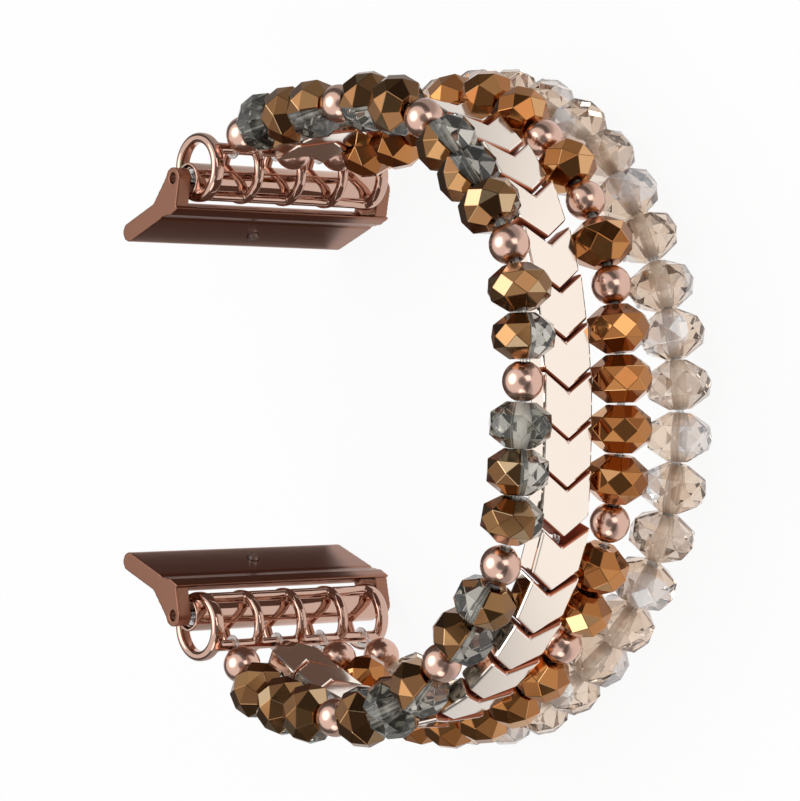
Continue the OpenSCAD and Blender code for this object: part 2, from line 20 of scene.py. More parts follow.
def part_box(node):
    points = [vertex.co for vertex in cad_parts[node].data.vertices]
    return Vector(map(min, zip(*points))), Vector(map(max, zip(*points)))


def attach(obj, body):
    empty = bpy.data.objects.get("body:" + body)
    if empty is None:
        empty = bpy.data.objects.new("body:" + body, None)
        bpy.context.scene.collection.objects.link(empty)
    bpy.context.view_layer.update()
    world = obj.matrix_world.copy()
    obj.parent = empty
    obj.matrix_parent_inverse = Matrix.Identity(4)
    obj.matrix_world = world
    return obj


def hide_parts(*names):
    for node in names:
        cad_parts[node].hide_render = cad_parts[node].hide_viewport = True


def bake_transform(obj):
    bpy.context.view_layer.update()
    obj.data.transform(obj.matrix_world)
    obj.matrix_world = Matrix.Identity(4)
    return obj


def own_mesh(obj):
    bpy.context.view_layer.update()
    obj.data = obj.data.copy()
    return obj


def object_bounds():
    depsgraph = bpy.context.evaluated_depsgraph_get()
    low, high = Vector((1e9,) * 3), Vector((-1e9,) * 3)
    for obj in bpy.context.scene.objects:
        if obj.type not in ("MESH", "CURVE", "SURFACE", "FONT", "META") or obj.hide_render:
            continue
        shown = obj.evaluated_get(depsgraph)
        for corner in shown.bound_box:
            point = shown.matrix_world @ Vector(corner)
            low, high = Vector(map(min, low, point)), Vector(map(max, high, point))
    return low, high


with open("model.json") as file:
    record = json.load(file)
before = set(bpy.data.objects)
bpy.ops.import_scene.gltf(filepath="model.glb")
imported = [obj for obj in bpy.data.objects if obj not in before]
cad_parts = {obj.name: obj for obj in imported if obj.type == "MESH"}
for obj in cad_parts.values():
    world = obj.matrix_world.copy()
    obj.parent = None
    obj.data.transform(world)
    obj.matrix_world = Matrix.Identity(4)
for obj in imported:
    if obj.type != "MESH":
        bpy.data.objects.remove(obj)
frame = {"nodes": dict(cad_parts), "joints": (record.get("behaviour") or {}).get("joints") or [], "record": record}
CAD_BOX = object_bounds()

Colour = tuple[float, float, float]
Corner = tuple[float, float, float]

MM = 0.001
LOG = logging.getLogger("band")
STRETCHES = 5
CURL_STEPS = 24
WAVE_DETAIL = 1.0
SMUDGE_DETAIL = 4.0


class Piece(Enum):
    """The letters that spell the pieces of a strand, as in the solids."""

    BALL = "b"
    SMOKY = "s"
    CHEVRON = "v"
    COPPER = "c"
    CHAMPAGNE = "g"


class CoatSide(Enum):
    """Which way the mirrored half of a smoky crystal faces."""

    FRONT = "f"
    BACK = "b"
    UPPER = "c"
    LEFT = "l"
    LIFTED = "u"
    LEFT_BACK = "k"
    LOW_RIGHT = "r"
    HIGH_LEFT = "t"

    @property
    def way(self) -> Vector:
        """The direction in the band's own axes."""
        return Vector(
            {
                CoatSide.FRONT: (0.77, 0, 0.64),
                CoatSide.BACK: (-0.77, 0, -0.64),
                CoatSide.UPPER: (0, 0, 1),
                CoatSide.LEFT: (-0.64, 0, 0.77),
                CoatSide.LIFTED: (0.36, 0.88, 0.3),
                CoatSide.LEFT_BACK: (-0.9, -0.4, 0.15),
                CoatSide.LOW_RIGHT: (0.71, -0.6, -0.38),
                CoatSide.HIGH_LEFT: (-0.31, 0.6, 0.73),
            }[self]
        )


class End(Enum):
    """The two ends of the band, with the sign of their Y."""

    TOP = 1
    BOTTOM = -1

    @property
    def word(self) -> str:
        """The word that ends the names of this end's nodes."""
        return self.name.lower()


# Sizes of the beads and of the way they are strung


@dataclass(frozen=True)
class CrystalCut:
    """One kind of crystal: upright diamonds round its middle, small facets towards its ends."""

    diameter: float
    length: float
    end_radius: float
    sides: int = 8
    edge: float = 0.035 * MM


@dataclass(frozen=True)
class BeadSizes:
    """The sizes of every piece that is threaded on the cords."""

    smoky: CrystalCut = CrystalCut(6.2 * MM, 4.3 * MM, 1.4 * MM)
    copper: CrystalCut = CrystalCut(6.3 * MM, 4.6 * MM, 1.4 * MM)
    champagne: CrystalCut = CrystalCut(6.6 * MM, 4.8 * MM, 1.1 * MM)
    hole_radius: float = 0.6 * MM
    hole_reach: float = 1.02
    smoky_coat_edge: float = -0.05
    champagne_pearl_edge: float = 0.5
    ball_radius: float = 1.95 * MM
    ball_seat_radius: float = 0.95 * MM
    ball_lip: float = 0.12 * MM
    ball_chamfer: tuple[float, float] = (0.03 * MM, 0.02 * MM)
    ball_steps: int = 20
    ball_sides: int = 32
    chevron_width: float = 6.2 * MM
    chevron_length: float = 4.5 * MM
    chevron_point: float = 2 * MM
    chevron_thickness: float = 2.2 * MM
    chevron_edge_round: float = 0.3 * MM
    chevron_sharp_angle: float = math.radians(25)
    chevron_face_side: float = 0.75
    chevron_nesting_along: float = 0.3
    drill_sides: int = 24

    @property
    def ball_length(self) -> float:
        """Length of a ball from one mouth of its hole to the other."""
        return 2 * math.sqrt(self.ball_radius**2 - self.hole_radius**2)

    def length(self, kind: Piece) -> float:
        """Length of a piece along its strand."""
        return {
            Piece.BALL: self.ball_length,
            Piece.SMOKY: self.smoky.length,
            Piece.CHEVRON: self.chevron_length,
            Piece.COPPER: self.copper.length,
            Piece.CHAMPAGNE: self.champagne.length,
        }[kind]

    def seat(self, kind: Piece) -> float:
        """Radius on which a piece meets its neighbour in a bend."""
        return {
            Piece.BALL: self.ball_seat_radius,
            Piece.SMOKY: self.smoky.end_radius,
            Piece.CHEVRON: self.chevron_thickness / 2,
            Piece.COPPER: self.copper.end_radius,
            Piece.CHAMPAGNE: self.champagne.end_radius,
        }[kind]


@dataclass(frozen=True)
class CageSizes:
    """The connector's places that the strands start from."""

    pin_x: float = -2.8 * MM
    pin_y: float = 22.8 * MM
    ring_pitch: float = 5.65 * MM
    ring_radius: float = 3.1 * MM
    ring_shift_x: float = 0.5 * MM
    ring_shift_y: float = 1.25 * MM
    bar_angle: float = math.radians(38)
    bar_radius: float = 0.6 * MM
    adapter_width: float = 28.6 * MM

    @property
    def bar(self) -> Vector:
        """Where the cord bar runs, at the top end."""
        return Vector(
            (
                self.pin_x + self.ring_shift_x + self.ring_radius * math.cos(self.bar_angle),
                self.pin_y + self.ring_shift_y + self.ring_radius * math.sin(self.bar_angle),
                0,
            )
        )


@dataclass(frozen=True)
class StringingSizes:
    """How tightly the pieces are strung and how the strands lie beside each other."""

    bead_gap: float = 0.06 * MM
    flex_gap: float = 0.35 * MM
    strand_gap: float = 0.35 * MM
    chevron_level: float = 3.5 * MM
    window_clearance: float = 0.1 * MM
    wedge_share: float = 1.05
    cord_radius: float = 0.2 * MM
    cord_side: float = 0.22 * MM
    run_gap: float = 0.05 * MM
    curve_steps: int = 6
    turn_step: float = math.radians(137.5)
    first_gap: float = 0.1 * MM
    solving_rounds: int = 4
    first_reaches: tuple[float, float] = (1.0, 1.02)
    solved_within: float = 1e-9


@dataclass(frozen=True)
class StrandPlan:
    """One strand: its pieces from the top connector to the bottom one, and its route.

    A route point is x and y in millimetres and a level, which is 0 at the connector, 1 just
    beside it and 2 at the far side of the loop. A cut is the first piece of a flexing stretch.
    The coats are the letters of the sides that the mirrored halves of its crystals face.
    """

    name: str
    order: str
    cuts: tuple[int, ...]
    stand_top: float
    stand_bottom: float
    route: tuple[tuple[float, float, float], ...]
    coats: str = ""


PLANS = (
    StrandPlan(
        "smoky",
        "bsssbssbsssbssbsssbssbsssbsssb",
        (0, 5, 11, 18, 25, 30),
        1 * MM,
        1 * MM,
        (
            (2.5, 27.6, 0.4), (5.8, 28.2, 1), (14, 28.8, 1.6), (23, 29.2, 2), (32, 27.2, 2),
            (38.8, 21, 2), (44.8, 14, 2), (46.5, 6, 2), (46, -2.5, 2), (45, -11.5, 2),
            (41.5, -19, 2), (35.5, -25, 2), (28.5, -30.2, 2), (20, -32, 1.9),
            (10, -31.5, 1.5), (4.5, -29.8, 1),
        ),
        "bfuufkkfflblcrttbffff",
    ),
    StrandPlan(
        "chevron",
        "bvvvvvvvvvvvvvvvvvvvvvvvvvv",
        (0, 5, 10, 16, 22, 27),
        1.1 * MM,
        1.05 * MM,
        (
            (3.4, 25.6, 0.3), (9, 27.2, 0.8), (15, 28.4, 1.2), (21, 28.8, 1.6), (27, 28.2, 2),
            (32.5, 26.3, 2), (39, 20.3, 2), (42.8, 12, 2), (44.4, 3, 2), (44.4, -6, 2),
            (43.4, -15, 2), (38.8, -23.3, 2), (32, -29.2, 2), (25, -31.8, 2), (17, -32, 1.5),
            (9, -30.2, 0.9), (4, -28, 0.5),
        ),
    ),
    StrandPlan(
        "copper",
        "bccccccbcbcbccccbccbcccccccb",
        (0, 5, 10, 17, 23, 28),
        1.2 * MM,
        1.7 * MM,
        (
            (4.2, 25.9, 0.4), (8, 26.4, 1), (11.8, 26.4, 1), (15.5, 27.8, 1.2),
            (20, 29.8, 1.5), (24.6, 30.1, 1.8), (29, 29.2, 2), (36.4, 24, 2), (41.5, 17.6, 2),
            (44.4, 9.7, 2), (45.4, 0.8, 2), (44.8, -8.6, 2), (42, -17, 2), (37, -24.6, 2),
            (30, -30.2, 2), (22, -32.8, 1.6), (13.5, -32.7, 1), (7, -30.6, 1),
            (3.6, -28.2, 0.4),
        ),
    ),
    StrandPlan(
        "champagne",
        "bggggggggggggggggggggggggb",
        (0, 5, 10, 16, 21, 26),
        1.7 * MM,
        1.7 * MM,
        (
            (3.9, 26, 0.3), (6.8, 28.6, 1), (10.3, 30.4, 1.2), (14.8, 31.2, 1.5),
            (20, 31, 1.8), (27, 29.4, 2), (34.6, 24.7, 2), (40.6, 17, 2), (44.4, 8, 2),
            (46, -1.5, 2), (44.6, -11, 2), (40.4, -19.5, 2), (34.4, -26.2, 2),
            (26.5, -31.3, 2), (17.5, -33.4, 1.6), (10.5, -32.7, 1.3), (6, -30.4, 1),
            (3.4, -28, 0.3),
        ),
    ),
)


@dataclass(frozen=True)
class Threaded:
    """One piece in its place on a strand."""

    kind: Piece
    number: int
    stretch: int
    start: Vector
    end: Vector
    coat: Optional[CoatSide] = None

    @property
    def centre(self) -> Vector:
        """The middle of the piece."""
        return (self.start + self.end) / 2

    @property
    def way(self) -> Vector:
        """The direction of the piece's hole."""
        return (self.end - self.start).normalized()

    @property
    def side(self) -> Vector:
        """The direction across the hole that the piece's turn is counted from."""
        w = self.way
        polar, azimuth = math.acos(w.z), math.atan2(w.y, w.x)
        return Vector(
            (
                math.cos(polar) * math.cos(azimuth),
                math.cos(polar) * math.sin(azimuth),
                -math.sin(polar),
            )
        )

    def turn(self, step: float, sides: int) -> float:
        """How far the piece is turned about its hole.

        Args:
            step: The turn from one piece of a strand to the next.
            sides: How many facets it has round its middle.

        Returns:
            The angle. A half-coated crystal is turned on by whole facets, which leaves its
            shape as it was, until its coat faces the side that the plan gives.
        """
        angle = self.number * step
        if self.coat is None:
            return angle
        facing = self.coat.way
        wanted = math.atan2(facing.dot(self.way.cross(self.side)), facing.dot(self.side))
        facet = 2 * math.pi / sides
        return angle + facet * round((wanted - math.pi / 2 - angle) / facet)


class StrandRoute:
    """Strings the pieces of one strand on its route, as the solids are strung."""

    def __init__(
        self,
        index: int,
        plan: StrandPlan,
        beads: BeadSizes,
        cage: CageSizes,
        stringing: StringingSizes,
    ) -> None:
        """Solves the reach at which the pieces fill the route, and places them.

        Args:
            index: The strand's number, from the one with the highest Z.
            plan: Its pieces and route.
            beads: Sizes of the pieces.
            cage: Where the connectors hold it.
            stringing: How tightly it is strung.
        """
        self.index = index
        self.plan = plan
        self.beads = beads
        self.cage = cage
        self.stringing = stringing
        self.kinds = [Piece(letter) for letter in plan.order]
        self.points = self._route(self._fitted_reach())
        self.lengths = self._run_lengths(self.points)
        self.pieces = self._thread()

    def _levels(self) -> tuple[float, float, float]:
        """The strand's Z at the connector's window, just beside it and at the loop's far side."""
        s, half_link = self.stringing, self.beads.chevron_width / 2
        pitch = self.cage.ring_pitch
        smoky_r, copper_r = self.beads.smoky.diameter / 2, self.beads.copper.diameter / 2
        champagne_r = self.beads.champagne.diameter / 2
        near = pitch / 2 + s.window_clearance
        above, below = half_link + s.strand_gap + smoky_r, half_link + s.strand_gap + copper_r
        window = (1.5 * pitch, pitch / 2, -pitch / 2, -1.5 * pitch)
        beside = (
            near + above,
            near,
            near - below,
            near - below - copper_r - s.strand_gap - champagne_r,
        )
        far = (
            s.chevron_level + above,
            s.chevron_level,
            s.chevron_level - below,
            champagne_r - self.cage.adapter_width / 2,
        )
        return window[self.index], beside[self.index], far[self.index]

    def _route(self, reach: float) -> list[Vector]:
        """The smooth route through the plan's points, scaled by reach from the cord bars."""
        window, beside, far = self._levels()
        bar = self.cage.bar

        def level(h: float) -> float:
            """The Z of a level number."""
            if h < 1:
                return window + h * (beside - window)
            return beside + (h - 1) * (far - beside)

        knots = [Vector((bar.x, bar.y, window))]
        for x, y, h in self.plan.route:
            knots.append(Vector((bar.x + (x * MM - bar.x) * reach, y * MM, level(h))))
        knots.append(Vector((bar.x, -bar.y, window)))
        steps, last = self.stringing.curve_steps, len(knots) - 1
        route = []
        for i in range(last):
            a, b = knots[max(i - 1, 0)], knots[i]
            c, d = knots[i + 1], knots[min(i + 2, last)]
            route += [self._blend(a, b, c, d, k / steps) for k in range(steps)]
        return route + [knots[last]]

    @staticmethod
    def _blend(a: Vector, b: Vector, c: Vector, d: Vector, t: float) -> Vector:
        """A point of the smooth curve between b and c, at share t."""
        return (
            2 * b
            + (c - a) * t
            + (2 * a - 5 * b + 4 * c - d) * t**2
            + (3 * b - a - 3 * c + d) * t**3
        ) / 2

    @staticmethod
    def _run_lengths(points: Sequence[Vector]) -> list[float]:
        """The length of the route up to each of its points."""
        lengths = [0.0]
        for a, b in zip(points, points[1:]):
            lengths.append(lengths[-1] + (b - a).length)
        return lengths

    @staticmethod
    def _at(points: Sequence[Vector], lengths: Sequence[float], run: float) -> Vector:
        """The point at a length along a route, past its ends too."""
        i = int(np.searchsorted(lengths[1:-1], run))
        share = (run - lengths[i]) / (lengths[i + 1] - lengths[i])
        return points[i] + (points[i + 1] - points[i]) * share

    def at(self, run: float) -> Vector:
        """The point at a length along the strung route."""
        return self._at(self.points, self.lengths, run)

    def _gap(
        self, i: int, points: Sequence[Vector], lengths: Sequence[float], a: float, b: float
    ) -> float:
        """Cord between piece i, which lies from a to b, and the next one."""
        s, beads = self.stringing, self.beads
        kind, following = self.kinds[i], self.kinds[i + 1]
        here = self._at(points, lengths, b) - self._at(points, lengths, a)
        half_link = beads.chevron_width / 2
        slope = math.hypot(beads.chevron_point, half_link) / half_link
        gap = s.first_gap
        for _ in range(s.solving_rounds):
            start = self._at(points, lengths, b + gap)
            there = self._at(points, lengths, b + gap + beads.length(following)) - start
            w, v = here.normalized(), there.normalized()
            turn = math.acos(min(1.0, w.dot(v)))
            gap = s.bead_gap + (s.flex_gap if i + 1 in self.plan.cuts[1:STRETCHES] else 0)
            seat = min(beads.seat(kind), beads.seat(following))
            gap += 2 * s.wedge_share * seat * math.tan(turn / 2)
            if following is Piece.CHEVRON:
                tilt = abs(math.asin(w.z) - math.asin(v.z))
                gap += beads.chevron_width * math.tan(tilt / 2)
                if kind is Piece.BALL:
                    gap += beads.ball_radius * slope - beads.ball_length / 2
        return gap

    def _places(
        self, points: Sequence[Vector], lengths: Sequence[float]
    ) -> list[tuple[float, float]]:
        """Start and end of every piece along a route."""
        a, found = self.plan.stand_top, []
        for i, kind in enumerate(self.kinds):
            b = a + self.beads.length(kind)
            found.append((a, b))
            if i + 1 < len(self.kinds):
                a = b + self._gap(i, points, lengths, a, b)
        return found

    def _excess(self, reach: float) -> float:
        """How much longer the pieces are than the route at a reach."""
        points = self._route(reach)
        lengths = self._run_lengths(points)
        end = self._places(points, lengths)[-1][1]
        return end + self.plan.stand_bottom - lengths[-1]

    def _fitted_reach(self) -> float:
        """The reach at which the pieces fill the route, by secant steps."""
        k0, k1 = self.stringing.first_reaches
        for _ in range(self.stringing.solving_rounds):
            e0, e1 = self._excess(k0), self._excess(k1)
            if abs(e1 - e0) < self.stringing.solved_within:
                break
            k0, k1 = k1, k1 - e1 * (k1 - k0) / (e1 - e0)
        return k1

    def _thread(self) -> list[Threaded]:
        """Every piece of the strand in its place."""
        places = self._places(self.points, self.lengths)
        coats = iter(self.plan.coats)
        found = []
        for i, (kind, (a, b)) in enumerate(zip(self.kinds, places)):
            stretch = sum(1 for cut in self.plan.cuts[:-1] if cut <= i)
            coat = CoatSide(next(coats)) if kind is Piece.SMOKY else None
            found.append(Threaded(kind, i, stretch, self.at(a), self.at(b), coat))
        return found


# Small helpers for meshes and node trees


def new_object(name: str, mesh: bpy.types.Mesh) -> bpy.types.Object:
    """Links a mesh to the scene under a name.

    Args:
        name: The object's name.
        mesh: Its mesh.

    Returns:
        The new object.
    """
    obj = bpy.data.objects.new(name, mesh)
    bpy.context.scene.collection.objects.link(obj)
    mesh.name = name
    return obj


def mesh_from(bm: bmesh.types.BMesh, name: str) -> bpy.types.Mesh:
    """Turns a bmesh into a mesh and frees it."""
    mesh = bpy.data.meshes.new(name)
    bm.to_mesh(mesh)
    bm.free()
    return mesh


def corner_ring(
    bm: bmesh.types.BMesh, radius: float, z: float, count: int, shift: float = 0
) -> list[bmesh.types.BMVert]:
    """Adds a level ring of corners about Z.

    Args:
        bm: The mesh to add to.
        radius: The ring's radius.
        z: Its height.
        count: How many corners it has.
        shift: How far it is turned, in shares of the step from corner to corner.

    Returns:
        The corners in order.
    """
    angles = ((j + shift) * 2 * math.pi / count for j in range(count))
    return [bm.verts.new((radius * math.cos(a), radius * math.sin(a), z)) for a in angles]


def join_rings(
    bm: bmesh.types.BMesh,
    first: Sequence[bmesh.types.BMVert],
    second: Sequence[bmesh.types.BMVert],
) -> None:
    """Adds a band of four-cornered faces between two rings of equal count."""
    for j, corner in enumerate(first):
        k = (j + 1) % len(first)
        bm.faces.new((corner, first[k], second[k], second[j]))


def settled(obj: bpy.types.Object, name: str) -> bpy.types.Object:
    """Replaces an object and its live modifiers by one plain mesh.

    Args:
        obj: The object with its modifiers, which is removed.
        name: The name of the result.

    Returns:
        A new object with the evaluated mesh.
    """
    graph = bpy.context.evaluated_depsgraph_get()
    mesh = bpy.data.meshes.new_from_object(
        obj.evaluated_get(graph), preserve_all_data_layers=True, depsgraph=graph
    )
    old = obj.data
    bpy.data.objects.remove(obj)
    if old.users == 0 and isinstance(old, bpy.types.Mesh):
        bpy.data.meshes.remove(old)
    return new_object(name, mesh)


def shade(mesh: bpy.types.Mesh, flat: Callable[[bpy.types.MeshPolygon], bool]) -> None:
    """Sets which faces of a mesh are shaded flat."""
    mesh.polygons.foreach_set("use_smooth", [not flat(p) for p in mesh.polygons])


def flag_faces(
    mesh: bpy.types.Mesh, name: str, test: Callable[[bpy.types.MeshPolygon], bool]
) -> None:
    """Stores a yes-or-no attribute on the faces of a mesh."""
    layer = mesh.attributes.new(name, "BOOLEAN", "FACE")
    layer.data.foreach_set("value", [test(p) for p in mesh.polygons])


class Wiring:
    """Adds nodes to a tree and joins them."""

    def __init__(self, tree: bpy.types.NodeTree) -> None:
        """Starts on an empty tree."""
        self.tree = tree
        self.tree.nodes.clear()

    def add(self, kind: str, **settings: object) -> bpy.types.Node:
        """Adds a node.

        Args:
            kind: The node's type name.
            settings: Properties to set on it.

        Returns:
            The node.
        """
        node = self.tree.nodes.new(kind)
        for key, value in settings.items():
            setattr(node, key, value)
        return node

    def join(self, source: bpy.types.NodeSocket, target: bpy.types.NodeSocket) -> None:
        """Links an output to an input."""
        self.tree.links.new(source, target)

    def math(self, operation: str, *values: object) -> bpy.types.NodeSocket:
        """A Math node on numbers or sockets.

        Args:
            operation: The operation's name.
            values: Its operands.

        Returns:
            The node's output.
        """
        node = self.add("ShaderNodeMath", operation=operation)
        for socket, value in zip(node.inputs, values):
            if isinstance(value, bpy.types.NodeSocket):
                self.join(value, socket)
            else:
                socket.default_value = value
        return node.outputs[0]

    def ramp(
        self, share: bpy.types.NodeSocket, stops: Sequence[tuple[float, Colour]]
    ) -> bpy.types.NodeSocket:
        """A colour that follows a number.

        Args:
            share: The number.
            stops: The places of the colours, in order, with the colours.

        Returns:
            The colour's output.
        """
        node = self.add("ShaderNodeValToRGB")
        elements = node.color_ramp.elements
        for element, (place, colour) in zip(elements, (stops[0], stops[-1])):
            element.position, element.color = place, (*colour, 1)
        for place, colour in stops[1:-1]:
            elements.new(place).color = (*colour, 1)
        self.join(share, node.inputs["Fac"])
        return node.outputs["Color"]

    def mix(
        self, share: bpy.types.NodeSocket, first: bpy.types.NodeSocket, second: Colour
    ) -> bpy.types.NodeSocket:
        """A mix of two colours.

        Args:
            share: How much of the second colour there is.
            first: The first colour.
            second: The second colour.

        Returns:
            The mixed colour's output.
        """
        node = self.add("ShaderNodeMix", data_type="RGBA")
        sockets = {s.identifier: s for s in (*node.inputs, *node.outputs)}
        self.join(share, sockets["Factor_Float"])
        self.join(first, sockets["A_Color"])
        sockets["B_Color"].default_value = (*second, 1)
        return sockets["Result_Color"]


# Node trees that string beads, sweep cords and wind springs


class TreeInput(Enum):
    """Kinds of input that a geometry tree takes."""

    GEOMETRY = "NodeSocketGeometry"
    OBJECT = "NodeSocketObject"
    MATERIAL = "NodeSocketMaterial"
    DISTANCE = "NodeSocketFloat"
    COUNT = "NodeSocketInt"


class GeometryTree:
    """A geometry node tree with named inputs that can be put on an object."""

    def __init__(self, name: str, inputs: Sequence[tuple[str, TreeInput]]) -> None:
        """Makes the tree and its sockets.

        Args:
            name: The tree's name.
            inputs: The name and kind of each input after the geometry.
        """
        self.tree = bpy.data.node_groups.new(name, "GeometryNodeTree")
        face = self.tree.interface
        face.new_socket("Geometry", in_out="INPUT", socket_type=TreeInput.GEOMETRY.value)
        self.identifiers = {
            label: face.new_socket(label, in_out="INPUT", socket_type=kind.value).identifier
            for label, kind in inputs
        }
        face.new_socket("Geometry", in_out="OUTPUT", socket_type=TreeInput.GEOMETRY.value)
        self.wire = Wiring(self.tree)
        self.source = self.wire.add("NodeGroupInput")
        self.sink = self.wire.add("NodeGroupOutput")

    def named(self, name: str, kind: str) -> bpy.types.NodeSocket:
        """The value of a named attribute."""
        node = self.wire.add("GeometryNodeInputNamedAttribute", data_type=kind)
        node.inputs["Name"].default_value = name
        return node.outputs["Attribute"]

    def finish(
        self,
        geometry: bpy.types.NodeSocket,
        finishes: Sequence[tuple[bpy.types.NodeSocket, Optional[bpy.types.NodeSocket]]],
    ) -> None:
        """Ends the tree in Set Material, once for each finish.

        Args:
            geometry: The realized geometry.
            finishes: Each finish's material and the faces that take it, or None for all.
        """
        for material, faces in finishes:
            node = self.wire.add("GeometryNodeSetMaterial")
            self.wire.join(geometry, node.inputs["Geometry"])
            self.wire.join(material, node.inputs["Material"])
            if faces is not None:
                self.wire.join(faces, node.inputs["Selection"])
            geometry = node.outputs["Geometry"]
        self.wire.join(geometry, self.sink.inputs["Geometry"])

    def apply(
        self, obj: bpy.types.Object, name: str, values: dict[str, object]
    ) -> bpy.types.Object:
        """Runs the tree on an object and keeps the result as a plain mesh.

        Args:
            obj: The object that the tree starts from.
            name: The name of the result.
            values: The value of each named input.

        Returns:
            The finished object.
        """
        modifier = obj.modifiers.new("tree", "NODES")
        modifier.node_group = self.tree
        for label, value in values.items():
            modifier[self.identifiers[label]] = value
        return settled(obj, name)


def stringing_tree() -> GeometryTree:
    """The tree that stands a bead on every point of a strand.

    Returns:
        The tree, whose points carry the attributes way, side and turn.
    """
    tree = GeometryTree(
        "string_beads",
        (
            ("Bead", TreeInput.OBJECT),
            ("Body", TreeInput.MATERIAL),
            ("Coat", TreeInput.MATERIAL),
            ("Bore", TreeInput.MATERIAL),
            ("Seed", TreeInput.COUNT),
        ),
    )
    wire = tree.wire
    bead = wire.add("GeometryNodeObjectInfo")
    bead.inputs["As Instance"].default_value = True
    wire.join(tree.source.outputs["Bead"], bead.inputs["Object"])
    axes = wire.add("FunctionNodeAxesToRotation", primary_axis="Z", secondary_axis="X")
    wire.join(tree.named("way", "FLOAT_VECTOR"), axes.inputs["Primary Axis"])
    wire.join(tree.named("side", "FLOAT_VECTOR"), axes.inputs["Secondary Axis"])
    turned = wire.add("FunctionNodeRotateRotation", rotation_space="LOCAL")
    about = wire.add("FunctionNodeAxisAngleToRotation")
    about.inputs["Axis"].default_value = (0, 0, 1)
    wire.join(tree.named("turn", "FLOAT"), about.inputs["Angle"])
    wire.join(axes.outputs["Rotation"], turned.inputs["Rotation"])
    wire.join(about.outputs["Rotation"], turned.inputs["Rotate By"])
    placed = wire.add("GeometryNodeInstanceOnPoints")
    wire.join(tree.source.outputs["Geometry"], placed.inputs["Points"])
    wire.join(bead.outputs["Geometry"], placed.inputs["Instance"])
    wire.join(turned.outputs["Rotation"], placed.inputs["Rotation"])
    toned = random_attribute(tree, placed.outputs["Instances"], "bead_tone", "INSTANCE")
    real = wire.add("GeometryNodeRealizeInstances")
    wire.join(toned, real.inputs["Geometry"])
    faceted = random_attribute(tree, real.outputs["Geometry"], "facet_tone", "FACE")
    tree.finish(
        faceted,
        (
            (tree.source.outputs["Body"], None),
            # Coat goes on the mirrored halves of the crystals, and on the links' nesting faces, where it is
            # painted shade.
            (tree.source.outputs["Coat"], tree.named("coated", "BOOLEAN")),
            (tree.source.outputs["Bore"], tree.named("bore", "BOOLEAN")),
        ),
    )
    return tree


def random_attribute(
    tree: GeometryTree, geometry: bpy.types.NodeSocket, name: str, domain: str
) -> bpy.types.NodeSocket:
    """Stores a seeded random number from 0 to 1 on every element.

    Args:
        tree: The tree to add to.
        geometry: The geometry to store it on.
        name: The attribute's name.
        domain: What has a number of its own, such as FACE.

    Returns:
        The geometry with the attribute.
    """
    wire = tree.wire
    chance = wire.add("FunctionNodeRandomValue", data_type="FLOAT")
    wire.join(tree.source.outputs["Seed"], chance.inputs["Seed"])
    store = wire.add("GeometryNodeStoreNamedAttribute", data_type="FLOAT", domain=domain)
    store.inputs["Name"].default_value = name
    wire.join(geometry, store.inputs["Geometry"])
    wire.join(chance.outputs[1], store.inputs["Value"])
    return store.outputs["Geometry"]


def cord_tree() -> GeometryTree:
    """The tree that sweeps a round cord along the edges of a mesh."""
    tree = GeometryTree(
        "sweep_cord",
        (
            ("Radius", TreeInput.DISTANCE),
            ("Sides", TreeInput.COUNT),
            ("Finish", TreeInput.MATERIAL),
        ),
    )
    wire = tree.wire
    curve = wire.add("GeometryNodeMeshToCurve")
    wire.join(tree.source.outputs["Geometry"], curve.inputs["Mesh"])
    _sweep(tree, curve.outputs["Curve"])
    return tree


def spring_tree() -> GeometryTree:
    """The tree that winds a spring about Z from its lower end."""
    tree = GeometryTree(
        "wind_spring",
        (
            ("Radius", TreeInput.DISTANCE),
            ("Sides", TreeInput.COUNT),
            ("Finish", TreeInput.MATERIAL),
            ("Curls", TreeInput.DISTANCE),
            ("Coil Radius", TreeInput.DISTANCE),
            ("Height", TreeInput.DISTANCE),
        ),
    )
    wire = tree.wire
    coil = wire.add("GeometryNodeCurveSpiral")
    coil.inputs["Resolution"].default_value = CURL_STEPS
    wire.join(tree.source.outputs["Curls"], coil.inputs["Rotations"])
    wire.join(tree.source.outputs["Coil Radius"], coil.inputs["Start Radius"])
    wire.join(tree.source.outputs["Coil Radius"], coil.inputs["End Radius"])
    wire.join(tree.source.outputs["Height"], coil.inputs["Height"])
    _sweep(tree, coil.outputs["Curve"])
    return tree


def _sweep(tree: GeometryTree, curve: bpy.types.NodeSocket) -> None:
    """Ends a tree with a round tube along a curve.

    Args:
        tree: A tree with the inputs Radius, Sides and Finish.
        curve: The curve to follow.
    """
    wire = tree.wire
    profile = wire.add("GeometryNodeCurvePrimitiveCircle")
    wire.join(tree.source.outputs["Radius"], profile.inputs["Radius"])
    wire.join(tree.source.outputs["Sides"], profile.inputs["Resolution"])
    tube = wire.add("GeometryNodeCurveToMesh")
    tube.inputs["Fill Caps"].default_value = True
    wire.join(curve, tube.inputs["Curve"])
    wire.join(profile.outputs["Curve"], tube.inputs["Profile Curve"])
    real = wire.add("GeometryNodeRealizeInstances")
    wire.join(tube.outputs["Mesh"], real.inputs["Geometry"])
    tree.finish(real.outputs["Geometry"], ((tree.source.outputs["Finish"], None),))


# Finishes


